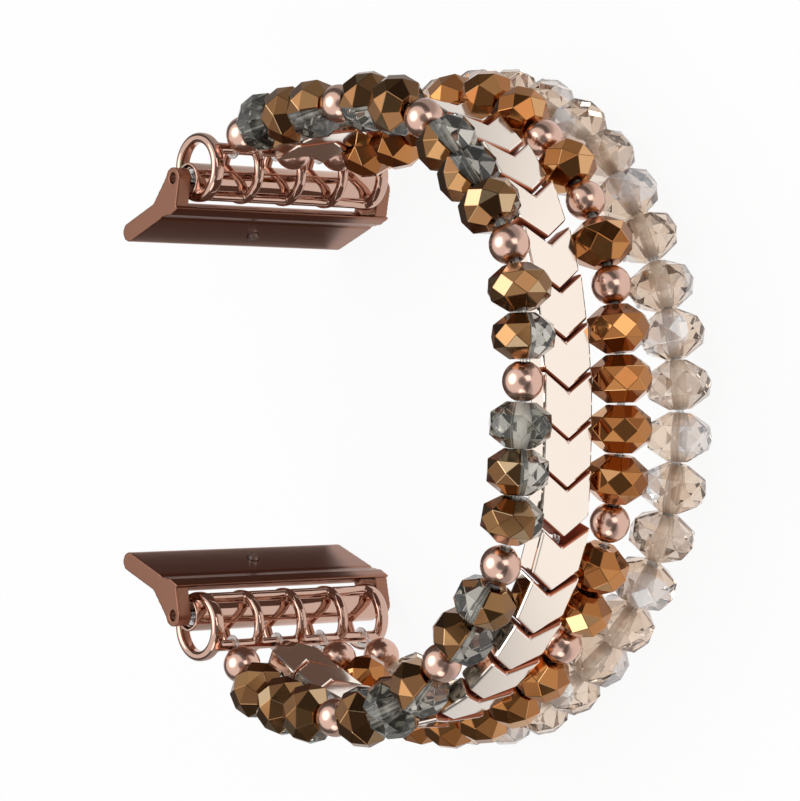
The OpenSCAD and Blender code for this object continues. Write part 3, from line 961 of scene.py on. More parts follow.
class ShaderGroup:
    """A shader node group with named sockets, built once and placed in many materials."""

    def __init__(
        self,
        name: str,
        inputs: Sequence[tuple[str, float]],
        outputs: Sequence[tuple[str, str]],
        build: Callable[[Wiring, bpy.types.Node, bpy.types.Node], None],
    ) -> None:
        """Makes the group.

        Args:
            name: The group's name.
            inputs: Name and first value of each number that it takes.
            outputs: Name and socket kind of each result.
            build: Fills the group between its input and output nodes.
        """
        self.tree = bpy.data.node_groups.new(name, "ShaderNodeTree")
        for label, value in inputs:
            socket = self.tree.interface.new_socket(
                label, in_out="INPUT", socket_type="NodeSocketFloat"
            )
            socket.default_value = value
        for label, kind in outputs:
            self.tree.interface.new_socket(label, in_out="OUTPUT", socket_type=kind)
        wire = Wiring(self.tree)
        build(wire, wire.add("NodeGroupInput"), wire.add("NodeGroupOutput"))

    def place(self, wire: Wiring, **values: float) -> bpy.types.Node:
        """Puts the group in a material with its own values.

        Args:
            wire: The material's nodes.
            values: Input values, with spaces written as underscores.

        Returns:
            The group node.
        """
        node = wire.add("ShaderNodeGroup", node_tree=self.tree)
        for key, value in values.items():
            node.inputs[key.replace("_", " ")].default_value = value
        return node


def _build_handling(wire: Wiring, given: bpy.types.Node, result: bpy.types.Node) -> None:
    """Fills the group that gives a polished surface its faint waviness and smudges."""
    place = wire.add("ShaderNodeTexCoord")
    wave = wire.add("ShaderNodeTexNoise")
    wave.inputs["Detail"].default_value = WAVE_DETAIL
    wire.join(place.outputs["Object"], wave.inputs["Vector"])
    wire.join(given.outputs["Wave Scale"], wave.inputs["Scale"])
    smudge = wire.add("ShaderNodeTexNoise")
    smudge.inputs["Detail"].default_value = SMUDGE_DETAIL
    wire.join(place.outputs["Object"], smudge.inputs["Vector"])
    wire.join(given.outputs["Smudge Scale"], smudge.inputs["Scale"])
    spread = wire.math("MULTIPLY", smudge.outputs["Fac"], given.outputs["Smudge"])
    rough = wire.math("ADD", spread, given.outputs["Roughness"])
    wire.join(wave.outputs["Fac"], result.inputs["Height"])
    wire.join(rough, result.inputs["Roughness"])


def _build_facets(wire: Wiring, given: bpy.types.Node, result: bpy.types.Node) -> None:
    """Fills the group that gives every bead and every facet a random tone of its own, which stands partly for real
    differences and partly for painted reflection.
    """
    bead = wire.add("ShaderNodeAttribute", attribute_name="bead_tone")
    facet = wire.add("ShaderNodeAttribute", attribute_name="facet_tone")
    by_bead = wire.math("MULTIPLY", bead.outputs["Fac"], given.outputs["Bead Share"])
    by_facet = wire.math("MULTIPLY", facet.outputs["Fac"], given.outputs["Facet Share"])
    wire.join(wire.math("ADD", by_bead, by_facet), result.inputs["Tone"])


@dataclass(frozen=True)
class Handling:
    """How smooth a surface is at its best, and how much its smudges add."""

    roughness: float
    smudge: float = 0.06


@dataclass(frozen=True)
class ToneShares:
    """How much of a facet's tone is its bead's and how much is its own."""

    bead: float
    facet: float


@dataclass(frozen=True)
class Plating:
    """A metal's colour, its handling and the strength and depth of its waviness."""

    colour: Colour
    handling: Handling
    wave: float
    wave_depth: float = 0.1 * MM


@dataclass(frozen=True)
class MirrorTones:
    """A vapour coat: its colours from the darkest facets to the painted glints, and its lacquer.

    The places say at which share of the tones the middle, the light and the painted glints stand.
    """

    dark: Colour
    middle: Colour
    light: Colour
    # Painted glints: the colour of the facets with the highest random tone, bright whatever they reflect.
    glint: Colour
    inside: Colour = (0.46, 0.46, 0.42)
    places: tuple[float, float, float] = (0.45, 0.82, 0.9)
    shares: ToneShares = ToneShares(0.12, 0.88)
    handling: Handling = Handling(0.06, 0.08)
    lacquer: float = 0.15
    lacquer_roughness: float = 0.02

    @property
    def stops(self) -> tuple[tuple[float, Colour], ...]:
        """The places and colours of the coat's ramp."""
        middle, light, glint = self.places
        return (
            (0.0, self.dark),
            (middle, self.middle),
            (light, self.light),
            (glint, self.glint),
            (1.0, self.glint),
        )


@dataclass(frozen=True)
class GlassCut:
    """Tints of the deepest and the palest facets of a glass, and how clear it is.

    A clearness of 1 has no milkiness. The film is a pearly one, in nanometres, or 0 for none.
    """

    deep: Colour
    pale: Colour
    ior: float
    clearness: float
    film: float = 0.0
    film_ior: float = 1.9
    shares: ToneShares = ToneShares(0.25, 0.75)
    handling: Handling = Handling(0.005, 0.02)


@dataclass(frozen=True)
class BoreWall:
    """The colours of a drilled hole's darkest and lightest streaks, which are painted reflections, and how it
    passes light.
    """

    dark: Colour
    light: Colour
    dark_up_to: float = 0.35
    light_from: float = 0.6
    clearness: float = 0.15
    ior: float = 1.5
    shares: ToneShares = ToneShares(0.2, 0.8)
    handling: Handling = Handling(0.16, 0.2)


@dataclass(frozen=True)
class ClearRubber:
    """An elastic's colour, how clear it is and its handling."""

    colour: Colour
    clearness: float = 0.85
    ior: float = 1.45
    handling: Handling = Handling(0.25, 0.15)


class Finishes:
    """Every material of the band, made once."""

    def __init__(self) -> None:
        """Builds the shared groups and then the materials."""
        self.handling = ShaderGroup(
            "handling",
            (("Wave Scale", 400.0), ("Smudge Scale", 900.0), ("Smudge", 0.06), ("Roughness", 0.05)),
            (("Height", "NodeSocketFloat"), ("Roughness", "NodeSocketFloat")),
            _build_handling,
        )
        self.facets = ShaderGroup(
            "facet_tones",
            (("Bead Share", 0.4), ("Facet Share", 0.6)),
            (("Tone", "NodeSocketFloat"),),
            _build_facets,
        )
        self.chevron = self.polished(
            "rose_gold_links", Plating((0.96, 0.845, 0.745), Handling(0.05), 0.02)
        )
        # Darker red-brown for the faces where the links nest in each other and for their holes: painted shade and
        # painted reflection in the gaps between links, whose plating is the same rose gold.
        self.chevron_edge = self.polished(
            "rose_gold_edges", Plating((0.50, 0.17, 0.09), Handling(0.40), 0.05)
        )
        self.ball = self.polished(
            "rose_gold_balls", Plating((0.70, 0.45, 0.36), Handling(0.18), 0.03)
        )
        self.cage = self.polished(
            "rose_gold_cast", Plating((0.60, 0.39, 0.31), Handling(0.05), 0.16)
        )
        self.adapter = self.polished(
            "rose_gold_satin", Plating((0.31, 0.145, 0.095), Handling(0.30), 0.12)
        )
        self.steel = self.polished(
            "spring_steel", Plating((0.62, 0.61, 0.60), Handling(0.22), 0.05)
        )
        # The mirror coats' spread of facet tones is partly painted reflection, and their brightest facets are
        # painted glints.
        self.bronze = self.mirror_coat(
            "bronze_mirror",
            MirrorTones(
                dark=(0.125, 0.056, 0.022),
                middle=(0.22, 0.105, 0.04),
                light=(0.33, 0.175, 0.07),
                glint=(0.60, 0.42, 0.245),
            ),
        )
        self.copper = self.mirror_coat(
            "copper_mirror",
            MirrorTones(
                dark=(0.19, 0.062, 0.016),
                middle=(0.39, 0.15, 0.042),
                light=(0.52, 0.225, 0.07),
                glint=(0.68, 0.38, 0.175),
            ),
        )
        self.smoke = self.glass(
            "smoky_glass", GlassCut((0.17, 0.155, 0.132), (0.79, 0.75, 0.67), 1.54, 0.95)
        )
        self.champagne = self.glass(
            "champagne_glass", GlassCut((0.50, 0.33, 0.22), (0.97, 0.82, 0.68), 1.5, 0.96)
        )
        self.pearl = self.glass(
            "champagne_pearl", GlassCut((0.68, 0.57, 0.51), (0.90, 0.86, 0.87), 1.5, 0.70, 62)
        )
        # The hole walls' random dark and light streaks are painted reflections.
        self.clear_bore = self.bore(
            "clear_bore", BoreWall((0.16, 0.17, 0.16), (1.0, 1.0, 0.98))
        )
        self.tan_bore = self.bore("tan_bore", BoreWall((0.82, 0.73, 0.66), (1.0, 0.99, 0.97)))
        # Dark brown hole walls for the copper crystals and the balls; on the metal balls this is painted shade
        # inside the hole.
        self.dark_bore = self.bore(
            "dark_bore", BoreWall((0.12, 0.05, 0.025), (0.35, 0.18, 0.10))
        )
        self.elastic = self.rubber("clear_elastic", ClearRubber((0.97, 0.96, 0.94)))

    @staticmethod
    def _start(name: str) -> tuple[bpy.types.Material, Wiring, bpy.types.Node]:
        """A material with an empty Principled shader joined to its output."""
        material = bpy.data.materials.new(name)
        material.use_nodes = True
        wire = Wiring(material.node_tree)
        shader = wire.add("ShaderNodeBsdfPrincipled")
        output = wire.add("ShaderNodeOutputMaterial")
        wire.join(shader.outputs["BSDF"], output.inputs["Surface"])
        return material, wire, shader

    def _handle(self, wire: Wiring, shader: bpy.types.Node, handling: Handling) -> bpy.types.Node:
        """Gives a shader its roughness with smudges.

        Args:
            wire: The material's nodes.
            shader: The shader to set.
            handling: How smooth it is.

        Returns:
            The group node, whose Height is the waviness.
        """
        hand = self.handling.place(wire, Roughness=handling.roughness, Smudge=handling.smudge)
        wire.join(hand.outputs["Roughness"], shader.inputs["Roughness"])
        return hand

    def _tone(self, wire: Wiring, shares: ToneShares) -> bpy.types.NodeSocket:
        """The tone of every facet, from 0 to 1."""
        facets = self.facets.place(wire, Bead_Share=shares.bead, Facet_Share=shares.facet)
        return facets.outputs["Tone"]

    def polished(self, name: str, plating: Plating) -> bpy.types.Material:
        """A plated metal with faint smudges and waviness.

        Args:
            name: The material's name.
            plating: Its colour and surface.

        Returns:
            The material.
        """
        material, wire, shader = self._start(name)
        shader.inputs["Metallic"].default_value = 1.0
        shader.inputs["Base Color"].default_value = (*plating.colour, 1)
        hand = self._handle(wire, shader, plating.handling)
        bump = wire.add("ShaderNodeBump")
        bump.inputs["Strength"].default_value = plating.wave
        bump.inputs["Distance"].default_value = plating.wave_depth
        wire.join(hand.outputs["Height"], bump.inputs["Height"])
        wire.join(bump.outputs["Normal"], shader.inputs["Normal"])
        return material

    def mirror_coat(self, name: str, tones: MirrorTones) -> bpy.types.Material:
        """A vapour-coated crystal surface, whose facets differ in tone at random: the spread is partly painted
        reflection, and the brightest facets carry painted glints.

        Args:
            name: The material's name.
            tones: The coat's colours.

        Returns:
            The material.
        """
        material, wire, shader = self._start(name)
        shader.inputs["Metallic"].default_value = 1.0
        shader.inputs["Coat Weight"].default_value = tones.lacquer
        shader.inputs["Coat Roughness"].default_value = tones.lacquer_roughness
        outside = wire.ramp(self._tone(wire, tones.shares), tones.stops)
        back = wire.add("ShaderNodeNewGeometry")
        colour = wire.mix(back.outputs["Backfacing"], outside, tones.inside)
        wire.join(colour, shader.inputs["Base Color"])
        self._handle(wire, shader, tones.handling)
        return material

    def glass(self, name: str, cut: GlassCut) -> bpy.types.Material:
        """Crystal glass, whose facets differ a little in tone.

        Args:
            name: The material's name.
            cut: Its tints and clearness.

        Returns:
            The material.
        """
        material, wire, shader = self._start(name)
        colour = wire.ramp(self._tone(wire, cut.shares), ((0.0, cut.deep), (1.0, cut.pale)))
        wire.join(colour, shader.inputs["Base Color"])
        shader.inputs["Transmission Weight"].default_value = cut.clearness
        shader.inputs["IOR"].default_value = cut.ior
        shader.inputs["Thin Film Thickness"].default_value = cut.film
        shader.inputs["Thin Film IOR"].default_value = cut.film_ior
        self._handle(wire, shader, cut.handling)
        return material

    def bore(self, name: str, wall: BoreWall) -> bpy.types.Material:
        """The frosted wall of a drilled hole, with painted reflections as random dark and light streaks along its
        length.

        Args:
            name: The material's name.
            wall: Its colours and clearness.

        Returns:
            The material.
        """
        material, wire, shader = self._start(name)
        stops = ((wall.dark_up_to, wall.dark), (wall.light_from, wall.light))
        colour = wire.ramp(self._tone(wire, wall.shares), stops)
        wire.join(colour, shader.inputs["Base Color"])
        shader.inputs["Transmission Weight"].default_value = wall.clearness
        shader.inputs["IOR"].default_value = wall.ior
        self._handle(wire, shader, wall.handling)
        return material

    def rubber(self, name: str, rubber: ClearRubber) -> bpy.types.Material:
        """Clear elastic cord.

        Args:
            name: The material's name.
            rubber: Its colour and clearness.

        Returns:
            The material.
        """
        material, wire, shader = self._start(name)
        shader.inputs["Base Color"].default_value = (*rubber.colour, 1)
        shader.inputs["Transmission Weight"].default_value = rubber.clearness
        shader.inputs["IOR"].default_value = rubber.ior
        self._handle(wire, shader, rubber.handling)
        return material


# Shapes of one bead, ball or link, made about Z at the origin


class BeadShapes:
    """Makes the pattern mesh of every kind of threaded piece."""

    def __init__(self, sizes: BeadSizes) -> None:
        """Keeps the sizes."""
        self.sizes = sizes

    def crystal(self, name: str, cut: CrystalCut, coat_edge: Optional[float]) -> bpy.types.Object:
        """A drilled crystal with softened facet edges.

        Args:
            name: The pattern's name.
            cut: Its sizes.
            coat_edge: Where the mirror coat starts, as a share of the radius across the
                hole, or None where the coat covers it all.

        Returns:
            The pattern, with the face attributes coated and bore.
        """
        bm = bmesh.new()
        n = cut.sides
        shoulder_r = cut.diameter / 2 * math.cos(math.pi / n)
        girdle = corner_ring(bm, cut.diameter / 2, 0, n, 0.5)
        for sign in (-1, 1):
            rim = corner_ring(bm, cut.end_radius, sign * cut.length / 2, n)
            shoulder = corner_ring(bm, shoulder_r, sign * cut.length / 4, n)
            bore = corner_ring(bm, self.sizes.hole_radius, sign * cut.length / 2, 2 * n)
            if sign < 0:
                low_shoulder, low_bore = shoulder, bore
            for j in range(n):
                k = (j + 1) % n
                faces = [
                    (shoulder[j], shoulder[k], girdle[j]),
                    (rim[j], rim[k], shoulder[k], shoulder[j]),
                    (rim[j], bore[2 * j + 1], rim[k]),
                    (rim[j], bore[2 * j], bore[2 * j + 1]),
                    (rim[k], bore[2 * j + 1], bore[(2 * j + 2) % (2 * n)]),
                ]
                for corners in faces:
                    bm.faces.new(corners)
        for j in range(n):
            bm.faces.new((shoulder[j], girdle[j], low_shoulder[j], girdle[j - 1]))
        join_rings(bm, low_bore, bore)
        bmesh.ops.recalc_face_normals(bm, faces=bm.faces)
        outer = [e for e in bm.edges if not any(self._at_hole(v.co) for v in e.verts)]
        bmesh.ops.bevel(
            bm,
            geom=outer,
            offset=cut.edge,
            segments=1,
            profile=0.5,
            affect="EDGES",
            clamp_overlap=True,
        )
        edge_y = -math.inf
        if coat_edge is not None:
            edge_y = coat_edge * cut.diameter / 2
            self._split(bm, edge_y)
        mesh = mesh_from(bm, name)
        flag_faces(mesh, "bore", lambda p: self._at_hole(p.center))
        flag_faces(
            mesh, "coated", lambda p: p.center.y > edge_y and not self._at_hole(p.center)
        )
        shade(mesh, lambda p: not self._at_hole(p.center))
        return self._pattern(name, mesh)

    @staticmethod
    def _split(bm: bmesh.types.BMesh, edge_y: float) -> None:
        """Cuts a crystal's faces along the edge of its coat.

        The cut puts one half of every face that it parts before all others, in an order that
        differs from run to run. The tones follow the order, so these halves are sorted.

        Args:
            bm: The crystal.
            edge_y: Where its coat starts.
        """
        count = len(bm.faces)
        number = bm.faces.layers.int.new("number")
        for i, face in enumerate(bm.faces):
            face[number] = i
        bmesh.ops.bisect_plane(
            bm,
            geom=bm.verts[:] + bm.edges[:] + bm.faces[:],
            plane_co=(0, edge_y, 0),
            plane_no=(0, 1, 0),
        )
        bm.faces.index_update()
        parted = len(bm.faces) - count
        bm.faces.sort(key=lambda face: face[number] - (count if face.index < parted else 0))
        bm.faces.layers.int.remove(number)

    def _at_hole(self, place: Vector) -> bool:
        """Whether a corner or the middle of a face lies on the hole's wall or its mouth."""
        return place.xy.length < self.sizes.hole_radius * self.sizes.hole_reach

    def ball(self, name: str) -> bpy.types.Object:
        """A drilled ball with softened mouths.

        Args:
            name: The pattern's name.

        Returns:
            The pattern.
        """
        s = self.sizes
        r, hole, steps = s.ball_radius, s.hole_radius, s.ball_steps
        first = math.asin((hole + s.ball_lip) / r)
        outer = [first + (math.pi - 2 * first) * i / steps for i in range(steps + 1)]
        profile = [(r * math.sin(a), r * math.cos(a)) for a in outer]
        mouth = profile[0][1]
        out, down = s.ball_chamfer
        inner = [(hole + out, mouth - down), (hole, mouth - s.ball_lip)]
        profile = inner[::-1] + profile + [(x, -z) for x, z in inner]
        mesh = self._lathe(name, profile, s.ball_sides)
        flag_faces(mesh, "bore", lambda p: self._at_hole(p.center))
        shade(mesh, lambda p: False)
        return self._pattern(name, mesh)

    @staticmethod
    def _lathe(
        name: str, profile: Sequence[tuple[float, float]], sides: int
    ) -> bpy.types.Mesh:
        """Turns a closed profile of radius and height about Z.

        Args:
            name: The mesh's name.
            profile: The profile's corners in order.
            sides: How many faces it has round Z.

        Returns:
            The turned mesh.
        """
        bm = bmesh.new()
        rings = [corner_ring(bm, radius, z, sides) for radius, z in profile]
        for a, b in zip(rings, rings[1:] + rings[:1]):
            join_rings(bm, a, b)
        bmesh.ops.recalc_face_normals(bm, faces=bm.faces)
        return mesh_from(bm, name)

    def chevron(self, name: str) -> bpy.types.Object:
        """A drilled chevron link with softened edges, its point at +Z and its wings along X.

        Args:
            name: The pattern's name.

        Returns:
            The pattern.
        """
        s = self.sizes
        half, back, point = s.chevron_width / 2, -s.chevron_length / 2, s.chevron_point
        front = back + s.chevron_length
        outline = [
            (0, back),
            (half, back - point),
            (half, front - point),
            (0, front),
            (-half, front - point),
            (-half, back - point),
        ]
        bm = bmesh.new()
        rings = [
            [bm.verts.new((x, y, z)) for x, z in outline]
            for y in (-s.chevron_thickness / 2, s.chevron_thickness / 2)
        ]
        join_rings(bm, *rings)
        for ring in rings:
            bm.faces.new((ring[0], ring[1], ring[2], ring[3]))
            bm.faces.new((ring[0], ring[3], ring[4], ring[5]))
        bmesh.ops.recalc_face_normals(bm, faces=bm.faces)
        link = new_object(name, mesh_from(bm, name))
        bevel = link.modifiers.new("edges", "BEVEL")
        bevel.width, bevel.segments, bevel.limit_method = s.chevron_edge_round, 3, "ANGLE"
        bevel.angle_limit = s.chevron_sharp_angle
        drill = new_object("drill", self._rod(s.hole_radius, 2 * s.chevron_length))
        cut = link.modifiers.new("hole", "BOOLEAN")
        cut.operation, cut.object, cut.solver = "DIFFERENCE", drill, "EXACT"
        link = settled(link, name)
        bpy.data.objects.remove(drill)
        self._flag_link(link.data)
        link.hide_render = True
        return link

    def _flag_link(self, mesh: bpy.types.Mesh) -> None:
        """Flags a link's hole and the two faces where it nests in its neighbours, which take the painted shade of
        the gaps between links.
        """
        face_side, along = self.sizes.chevron_face_side, self.sizes.chevron_nesting_along

        def in_hole(p: bpy.types.MeshPolygon) -> bool:
            """Whether a face is part of the hole's wall."""
            return self._at_hole(p.center) and abs(p.normal.z) < along

        def nests(p: bpy.types.MeshPolygon) -> bool:
            """Whether a face looks along the strand more than out of the link's flat faces."""
            return abs(p.normal.y) < face_side and abs(p.normal.z) > along

        flag_faces(mesh, "bore", in_hole)
        # On a link the coated faces are the nesting faces, which take painted shade rather than a coat.
        flag_faces(mesh, "coated", nests)

    def _rod(self, radius: float, height: float) -> bpy.types.Mesh:
        """A round rod about Z."""
        bm = bmesh.new()
        bmesh.ops.create_cone(
            bm,
            cap_ends=True,
            segments=self.sizes.drill_sides,
            radius1=radius,
            radius2=radius,
            depth=height,
        )
        return mesh_from(bm, "rod")

    @staticmethod
    def _pattern(name: str, mesh: bpy.types.Mesh) -> bpy.types.Object:
        """A pattern object, which is never rendered itself."""
        obj = new_object(name, mesh)
        obj.hide_render = True
        return obj


# Sub-assemblies


@dataclass(frozen=True)
class Ware:
    """One kind of threaded piece: its nodes, its slot, its pattern and its finishes."""

    kind: Piece
    node: str
    slot: str
    pattern: bpy.types.Object
    body: bpy.types.Material
    coat: bpy.types.Material
    bore: bpy.types.Material


@dataclass
class Strands:
    """The beads, balls and links of the four strands."""

    beads: BeadSizes
    stringing: StringingSizes
    routes: Sequence[StrandRoute]
    finishes: Finishes
    seed_step: int = 10

    def build(self) -> None:
        """Strings every kind of piece, one mesh for each stretch that flexes."""
        tree = stringing_tree()
        for number, ware in enumerate(self._wares()):
            for stretch in range(1, STRETCHES + 1):
                self._string(tree, ware, stretch, self.seed_step * number + stretch)
            bpy.data.objects.remove(ware.pattern)

    def _wares(self) -> tuple[Ware, ...]:
        """Every kind of threaded piece, with its pattern."""
        shapes, sizes, f = BeadShapes(self.beads), self.beads, self.finishes
        return (
            Ware(
                Piece.SMOKY, "smoky_crystals", "smoky_crystal",
                shapes.crystal("smoky_pattern", sizes.smoky, sizes.smoky_coat_edge),
                f.smoke, f.bronze, f.clear_bore,
            ),
            Ware(
                Piece.COPPER, "copper_crystals", "copper_crystal",
                shapes.crystal("copper_pattern", sizes.copper, None),
                f.copper, f.copper, f.dark_bore,
            ),
            Ware(
                Piece.CHAMPAGNE, "champagne_crystals", "champagne_crystal",
                shapes.crystal("champagne_pattern", sizes.champagne, sizes.champagne_pearl_edge),
                f.champagne, f.pearl, f.tan_bore,
            ),
            # The balls' hole walls take the dark bore instead of their rose gold: painted shade inside the holes.
            Ware(
                Piece.BALL, "gold_balls", "gold_ball",
                shapes.ball("ball_pattern"), f.ball, f.ball, f.dark_bore,
            ),
            # The links' nesting faces and holes take the painted shade of the gaps between links.
            Ware(
                Piece.CHEVRON, "chevron_links", "gold_link",
                shapes.chevron("chevron_pattern"), f.chevron, f.chevron_edge, f.chevron_edge,
            ),
        )

    def _string(self, tree: GeometryTree, ware: Ware, stretch: int, seed: int) -> None:
        """Strings one kind of piece on one stretch of every strand.

        Args:
            tree: The tree that stands beads on points.
            ware: The kind of piece.
            stretch: The stretch's number.
            seed: The seed of the pieces' tones.
        """
        found = [
            piece
            for route in self.routes
            for piece in route.pieces
            if piece.kind is ware.kind and piece.stretch == stretch
        ]
        name = f"{ware.node}_{stretch}"
        strung = tree.apply(
            self._points(found, ware.kind),
            f"{name}_strung",
            {
                "Bead": ware.pattern,
                "Body": ware.body,
                "Coat": ware.coat,
                "Bore": ware.bore,
                "Seed": seed,
            },
        )
        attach(strung, f"strand_{stretch}")
        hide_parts(name)
        give_slot(strung, ware.slot)
        LOG.info("%s: %d pieces", strung.name, len(found))

    def _points(self, pieces: Sequence[Threaded], kind: Piece) -> bpy.types.Object:
        """The points that a stretch's pieces stand on, with how each is turned."""
        mesh = bpy.data.meshes.new("points")
        mesh.from_pydata([p.centre for p in pieces], [], [])
        turned = kind in (Piece.SMOKY, Piece.COPPER, Piece.CHAMPAGNE)
        step, sides = self.stringing.turn_step, self.beads.smoky.sides
        for name, vectors in (
            ("way", [p.way for p in pieces]),
            ("side", [p.side for p in pieces]),
        ):
            layer = mesh.attributes.new(name, "FLOAT_VECTOR", "POINT")
            layer.data.foreach_set("vector", np.array(vectors, np.float32).ravel())
        layer = mesh.attributes.new("turn", "FLOAT", "POINT")
        turns = [p.turn(step, sides) if turned else 0.0 for p in pieces]
        layer.data.foreach_set("value", np.array(turns, np.float32))
        return new_object("points", mesh)


def give_slot(obj: bpy.types.Object, slot: str) -> None:
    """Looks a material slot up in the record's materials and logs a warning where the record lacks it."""
    slots = [m.get("slot") for m in frame["record"].get("materials", [])]
    if slot in slots:
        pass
    else:
        LOG.warning("no slot %s for %s in %s", slot, obj.name, slots)


@dataclass
class ElasticCords:
    """The doubled elastic cord of every strand, looped round the connectors' bars."""

    routes: Sequence[StrandRoute]
    cage: CageSizes
    stringing: StringingSizes
    finishes: Finishes
    sides: int = 12
    loop_steps: int = 24

    def build(self) -> None:
        """Sweeps the cords in pieces that each run across one flexing place."""
        tree = cord_tree()
        for route in self.routes:
            for joint in range(1, STRETCHES):
                runs = self._runs(route, joint)
                name = f"{route.plan.name}_cord_{joint}"
                cord = tree.apply(
                    self._lines(runs),
                    name,
                    {
                        "Radius": self.stringing.cord_radius,
                        "Sides": self.sides,
                        "Finish": self.finishes.elastic,
                    },
                )
                shade(cord.data, lambda p: False)
                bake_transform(cord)
                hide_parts(f"elastic_cords_{joint}", f"elastic_cords_{joint + 1}")
                give_slot(cord, "elastic_cord")
                LOG.info("%s: %d runs", name, len(runs))

    def _runs(self, route: StrandRoute, joint: int) -> list[list[Vector]]:
        """The centre lines of a strand's cords across one flexing place."""
        cuts = route.plan.cuts
        first = 0 if joint == 1 else (cuts[joint - 1] + cuts[joint]) // 2
        last = len(route.pieces) - 1
        if joint < STRETCHES - 1:
            last = (cuts[joint] + cuts[joint + 1]) // 2
        line = self._line(route, first, last)
        left = self._beside(line, -self.stringing.cord_side)
        right = self._beside(line, self.stringing.cord_side)
        bar = self.cage.bar
        if joint == 1:
            middle = Vector((bar.x, bar.y, line[0].z))
            return [left[::-1] + self._loop(middle, line[0]) + right]
        if joint == STRETCHES - 1:
            middle = Vector((bar.x, -bar.y, line[-1].z))
            back = self._beside(line[::-1], -self.stringing.cord_side)
            forth = self._beside(line[::-1], self.stringing.cord_side)
            return [back[::-1] + self._loop(middle, line[-1]) + forth]
        return [left, right]

    @staticmethod
    def _line(route: StrandRoute, first: int, last: int) -> list[Vector]:
        """A strand's middle line from the middle or end of one piece to that of another."""
        pieces = route.pieces
        start = pieces[0].start if first == 0 else pieces[first].centre
        end = pieces[-1].end if last == len(pieces) - 1 else pieces[last].centre
        line = [start]
        for i in range(first, last):
            a, b = pieces[i], pieces[i + 1]
            if i in (0, len(pieces) - 2):
                line += [a.end, b.start]
            else:
                line.append((a.end + b.start) / 2)
        return line + [end]

    @staticmethod
    def _beside(line: Sequence[Vector], shift: float) -> list[Vector]:
        """A line shifted level and square to its way."""
        found = []
        for i, p in enumerate(line):
            way = line[min(i + 1, len(line) - 1)] - line[max(i - 1, 0)]
            way = Vector((way.x, way.y, 0)).normalized()
            found.append(p + shift * Vector((-way.y, way.x, 0)))
        return found

    def _loop(self, middle: Vector, first: Vector) -> list[Vector]:
        """The turn round a cord bar, from tangent to tangent."""
        s = self.stringing
        radius = self.cage.bar_radius + s.run_gap + s.cord_radius
        away = first - middle
        distance = math.hypot(away.x, away.y)
        half = math.atan(s.cord_side / distance)
        half += math.acos(radius / math.hypot(distance, s.cord_side))
        start = math.atan2(away.y, away.x) - half
        sweep = 2 * math.pi - 2 * half
        return [
            middle
            + radius
            * Vector(
                (
                    math.cos(start - sweep * i / self.loop_steps),
                    math.sin(start - sweep * i / self.loop_steps),
                    0,
                )
            )
            for i in range(self.loop_steps + 1)
        ]

    @staticmethod
    def _lines(runs: Iterable[Sequence[Vector]]) -> bpy.types.Object:
        """A mesh of edges along the cords' centre lines."""
        points, edges = [], []
        for run in runs:
            base = len(points)
            points += run
            edges += [(base + i, base + i + 1) for i in range(len(run) - 1)]
        mesh = bpy.data.meshes.new("lines")
        mesh.from_pydata(points, edges, [])
        return new_object("lines", mesh)


@dataclass
class CastParts:
    """The cast connectors and adapters, with the soft corners that casting leaves."""

    finishes: Finishes
    weld: float = 0.001 * MM
    voxel: float = 0.1 * MM
    smoothing: float = 0.5
    cage_rounds: int = 5
    adapter_rounds: int = 3

    def build(self) -> None:
        """Makes both connectors and both adapters from their solids."""
        for end in End:
            cage = self._cast(f"connector_{end.word}", self.cage_rounds, self.finishes.cage)
            give_slot(cage, "connector")
            foot = self._cast(f"adapter_{end.word}", self.adapter_rounds, self.finishes.adapter)
            give_slot(foot, "adapter")

    def _cast(self, node: str, rounds: int, finish: bpy.types.Material) -> bpy.types.Object:
        """A softened copy of a solid, riding on the solid's body.

        Args:
            node: The solid's name, which is its body's name too.
            rounds: How often its corners are smoothed.
            finish: Its material.

        Returns:
            The cast piece.
        """
        mesh = frame["nodes"][node].data.copy()
        bm = bmesh.new()
        bm.from_mesh(mesh)
        bmesh.ops.remove_doubles(bm, verts=bm.verts, dist=self.weld)
        bm.to_mesh(mesh)
        bm.free()
        mesh.materials.clear()
        obj = new_object(f"{node}_raw", mesh)
        remesh = obj.modifiers.new("voxels", "REMESH")
        remesh.mode, remesh.voxel_size, remesh.use_smooth_shade = "VOXEL", self.voxel, True
        smooth = obj.modifiers.new("cast", "SMOOTH")
        smooth.factor, smooth.iterations = self.smoothing, rounds
        cast = settled(obj, f"{node}_cast")
        cast.data.materials.clear()
        cast.data.materials.append(finish)
        shade(cast.data, lambda p: False)
        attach(cast, node)
        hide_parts(node)
        LOG.info("%s: %d faces", cast.name, len(cast.data.polygons))
        return cast


@dataclass(frozen=True)
class Coil:
    """A wound spring, or half of one, whose way runs from its fixed end to its pressed one."""

    name: str
    fixed: Vector
    way: Vector
    height: float
    radius: float
    wire_radius: float
    curls: float
    joint: str


